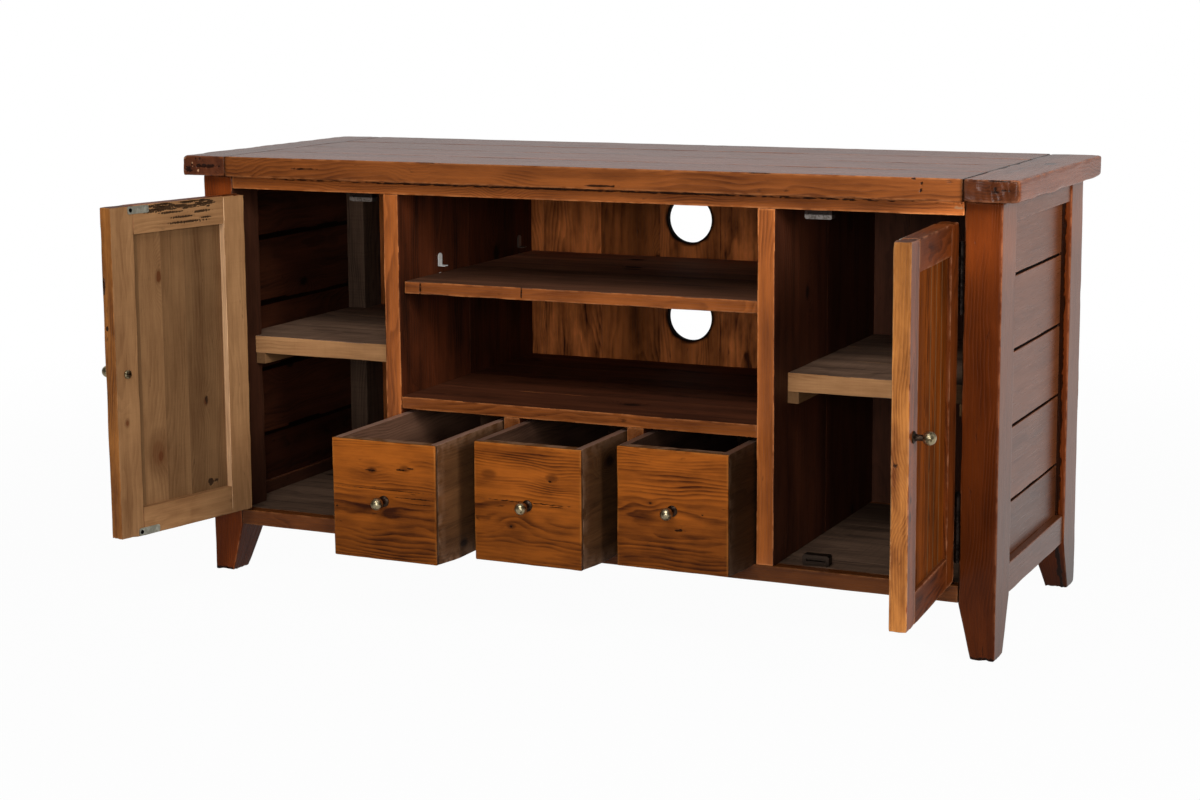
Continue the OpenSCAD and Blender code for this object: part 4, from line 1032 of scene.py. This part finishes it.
def knobs():
    """One knob for each door and drawer, on the axis of its CAD knob."""
    for body in ("door_left", "door_right", "drawer_1", "drawer_2", "drawer_3"):
        kind, which = body.split("_")
        turn = shut_turn(which) if kind == "door" else None
        boxes = solids(body + "_knob", turn)
        low, high = np.min([b[0] for b in boxes], axis=0), np.max([b[1] for b in boxes], axis=0)
        board = solids(body + ("_rails" if kind == "door" else "_front"), turn)[0]
        foot = ((low[0] + high[0]) / 2, board[0][1], (low[2] + high[2]) / 2)
        turned(body + "_knob_turned", knob_parts(foot, board[1][1] - board[0][1]), [BRASS, BRONZE, HOLE_SHADE], body,
               [body + "_knob"], turn)


SCREW_IN, SCREW_SUNK = 5 * MM, 0.05 * MM


def fittings():
    """Hinges, catches and supports keep their CAD solids and take their metals. The strikes get screw heads, one of
    each pair near black: painted shade of an empty screw hole.
    """
    metals = {"hinge": IRON, "shelf_supports": STEEL, "catches": CATCH, "strikes": PLATE}
    for node, piece in frame["nodes"].items():
        for word, finish in metals.items():
            if word in node:
                piece.data.materials.clear()
                piece.data.materials.append(finish)
    for side in SIDES:
        body, turn = "door_" + side, shut_turn(side)
        parts = []
        for low, high in solids(body + "_strikes", turn):
            for x, n in ((low[0] + SCREW_IN, side == "right"), (high[0] - SCREW_IN, side == "left")):
                at = (x, high[1] - SCREW_SUNK, (low[2] + high[2]) / 2)
                parts.append((*lathe(SCREW, at, INWARD, 16), n))
        turned(body + "_strike_screws", parts, [PLATE, HOLE_SHADE], body, turn=turn)


# ---- the studio
def lamp(name, at, aim, size, power, mirrored=True):
    """A rectangular lamp at one place that shines at another. Surfaces mirror it, or only take its light."""
    data = bpy.data.lights.new(name, "AREA")
    data.shape, data.size, data.size_y = "RECTANGLE", size[0], size[1]
    data.energy = power
    light = put(name, data)
    light.location = at
    light.rotation_euler = (Vector(aim) - Vector(at)).to_track_quat("-Z", "Y").to_euler()
    light.visible_glossy = mirrored


def rays(finish):
    """Whether a ray comes from the camera, straight or through a hole, and whether it comes off a glossy surface."""
    wanted = ("Is Camera Ray", "Is Transmission Ray", "Is Glossy Ray")
    seen, through, glossy = finish.add("LightPath", {}, *wanted)
    return finish.larger(seen, through), glossy


WHITE = (1.0, 1.0, 1.0, 1.0)
FLOOR_GREY = (0.5, 0.5, 0.5, 1.0)
FLOOR_HALF = 12.0


def studio():
    """A large lamp to the right of the camera, which nothing mirrors, one above, one beside the camera, and a pale
    floor and backdrop that are white to the eye and dimmer in reflections in front of the console than behind it."""
    lamp("right", (3.1, -1.7, 1.5), (0.2, -0.2, 0.35), (1.3, 1.3), 75, mirrored=False)
    lamp("above", (0.4, -2.2, 2.5), (0.0, -0.2, 0.45), (1.6, 1.0), 42)
    lamp("front", (1.2, -3.3, 0.95), (0.0, 0.0, 0.42), (1.0, 0.8), 30)
    mesh = bpy.data.meshes.new("floor")
    corners = [(x * FLOOR_HALF, y * FLOOR_HALF, 0) for x, y in ((-1, -1), (1, -1), (1, 1), (-1, 1))]
    mesh.from_pydata(corners, [], [(0, 1, 2, 3)])
    floor = put("floor", mesh)
    f = Finish("floor")
    clear, glossy = rays(f)
    place = f.add("TexCoord", {}, "Object")
    away = f.add("VectorMath", {0: place}, "Value", operation="LENGTH")
    clear = clear * f.smooth(away, 1.0, 3.0, 0.97, 1.0)
    mirrored = glossy * f.smooth(f.split(place)[1], -0.8, 0.6, 0.15, 0.8)
    plain = f.add("BsdfDiffuse", {"Color": FLOOR_GREY}, 0)
    white = f.add("Emission", {"Color": WHITE, "Strength": 1.0}, 0)
    shown = f.add("MixShader", {0: f.larger(clear, mirrored), 1: plain, 2: white}, 0)
    f.add("OutputMaterial", {"Surface": shown})
    mesh.materials.append(f.material)

    world = bpy.data.worlds.new("studio")
    bpy.context.scene.world = world
    world.use_nodes = True
    w = Finish("studio", world.node_tree)
    clear, glossy = rays(w)
    back = w.smooth(w.split(w.add("TexCoord", {}, "Generated"))[1], -0.3, 0.4, 0.06, 0.6)
    level = w.larger(w.larger(clear, glossy * back), back * 0.4)
    w.add("OutputWorld", {"Surface": w.add("Background", {"Color": WHITE, "Strength": level}, 0)})
    bpy.context.scene.view_settings.view_transform = "Standard"


make_camera()
top()
posts()
rails()
shiplap()
inside()
doors()
drawers()
knobs()
fittings()
studio()
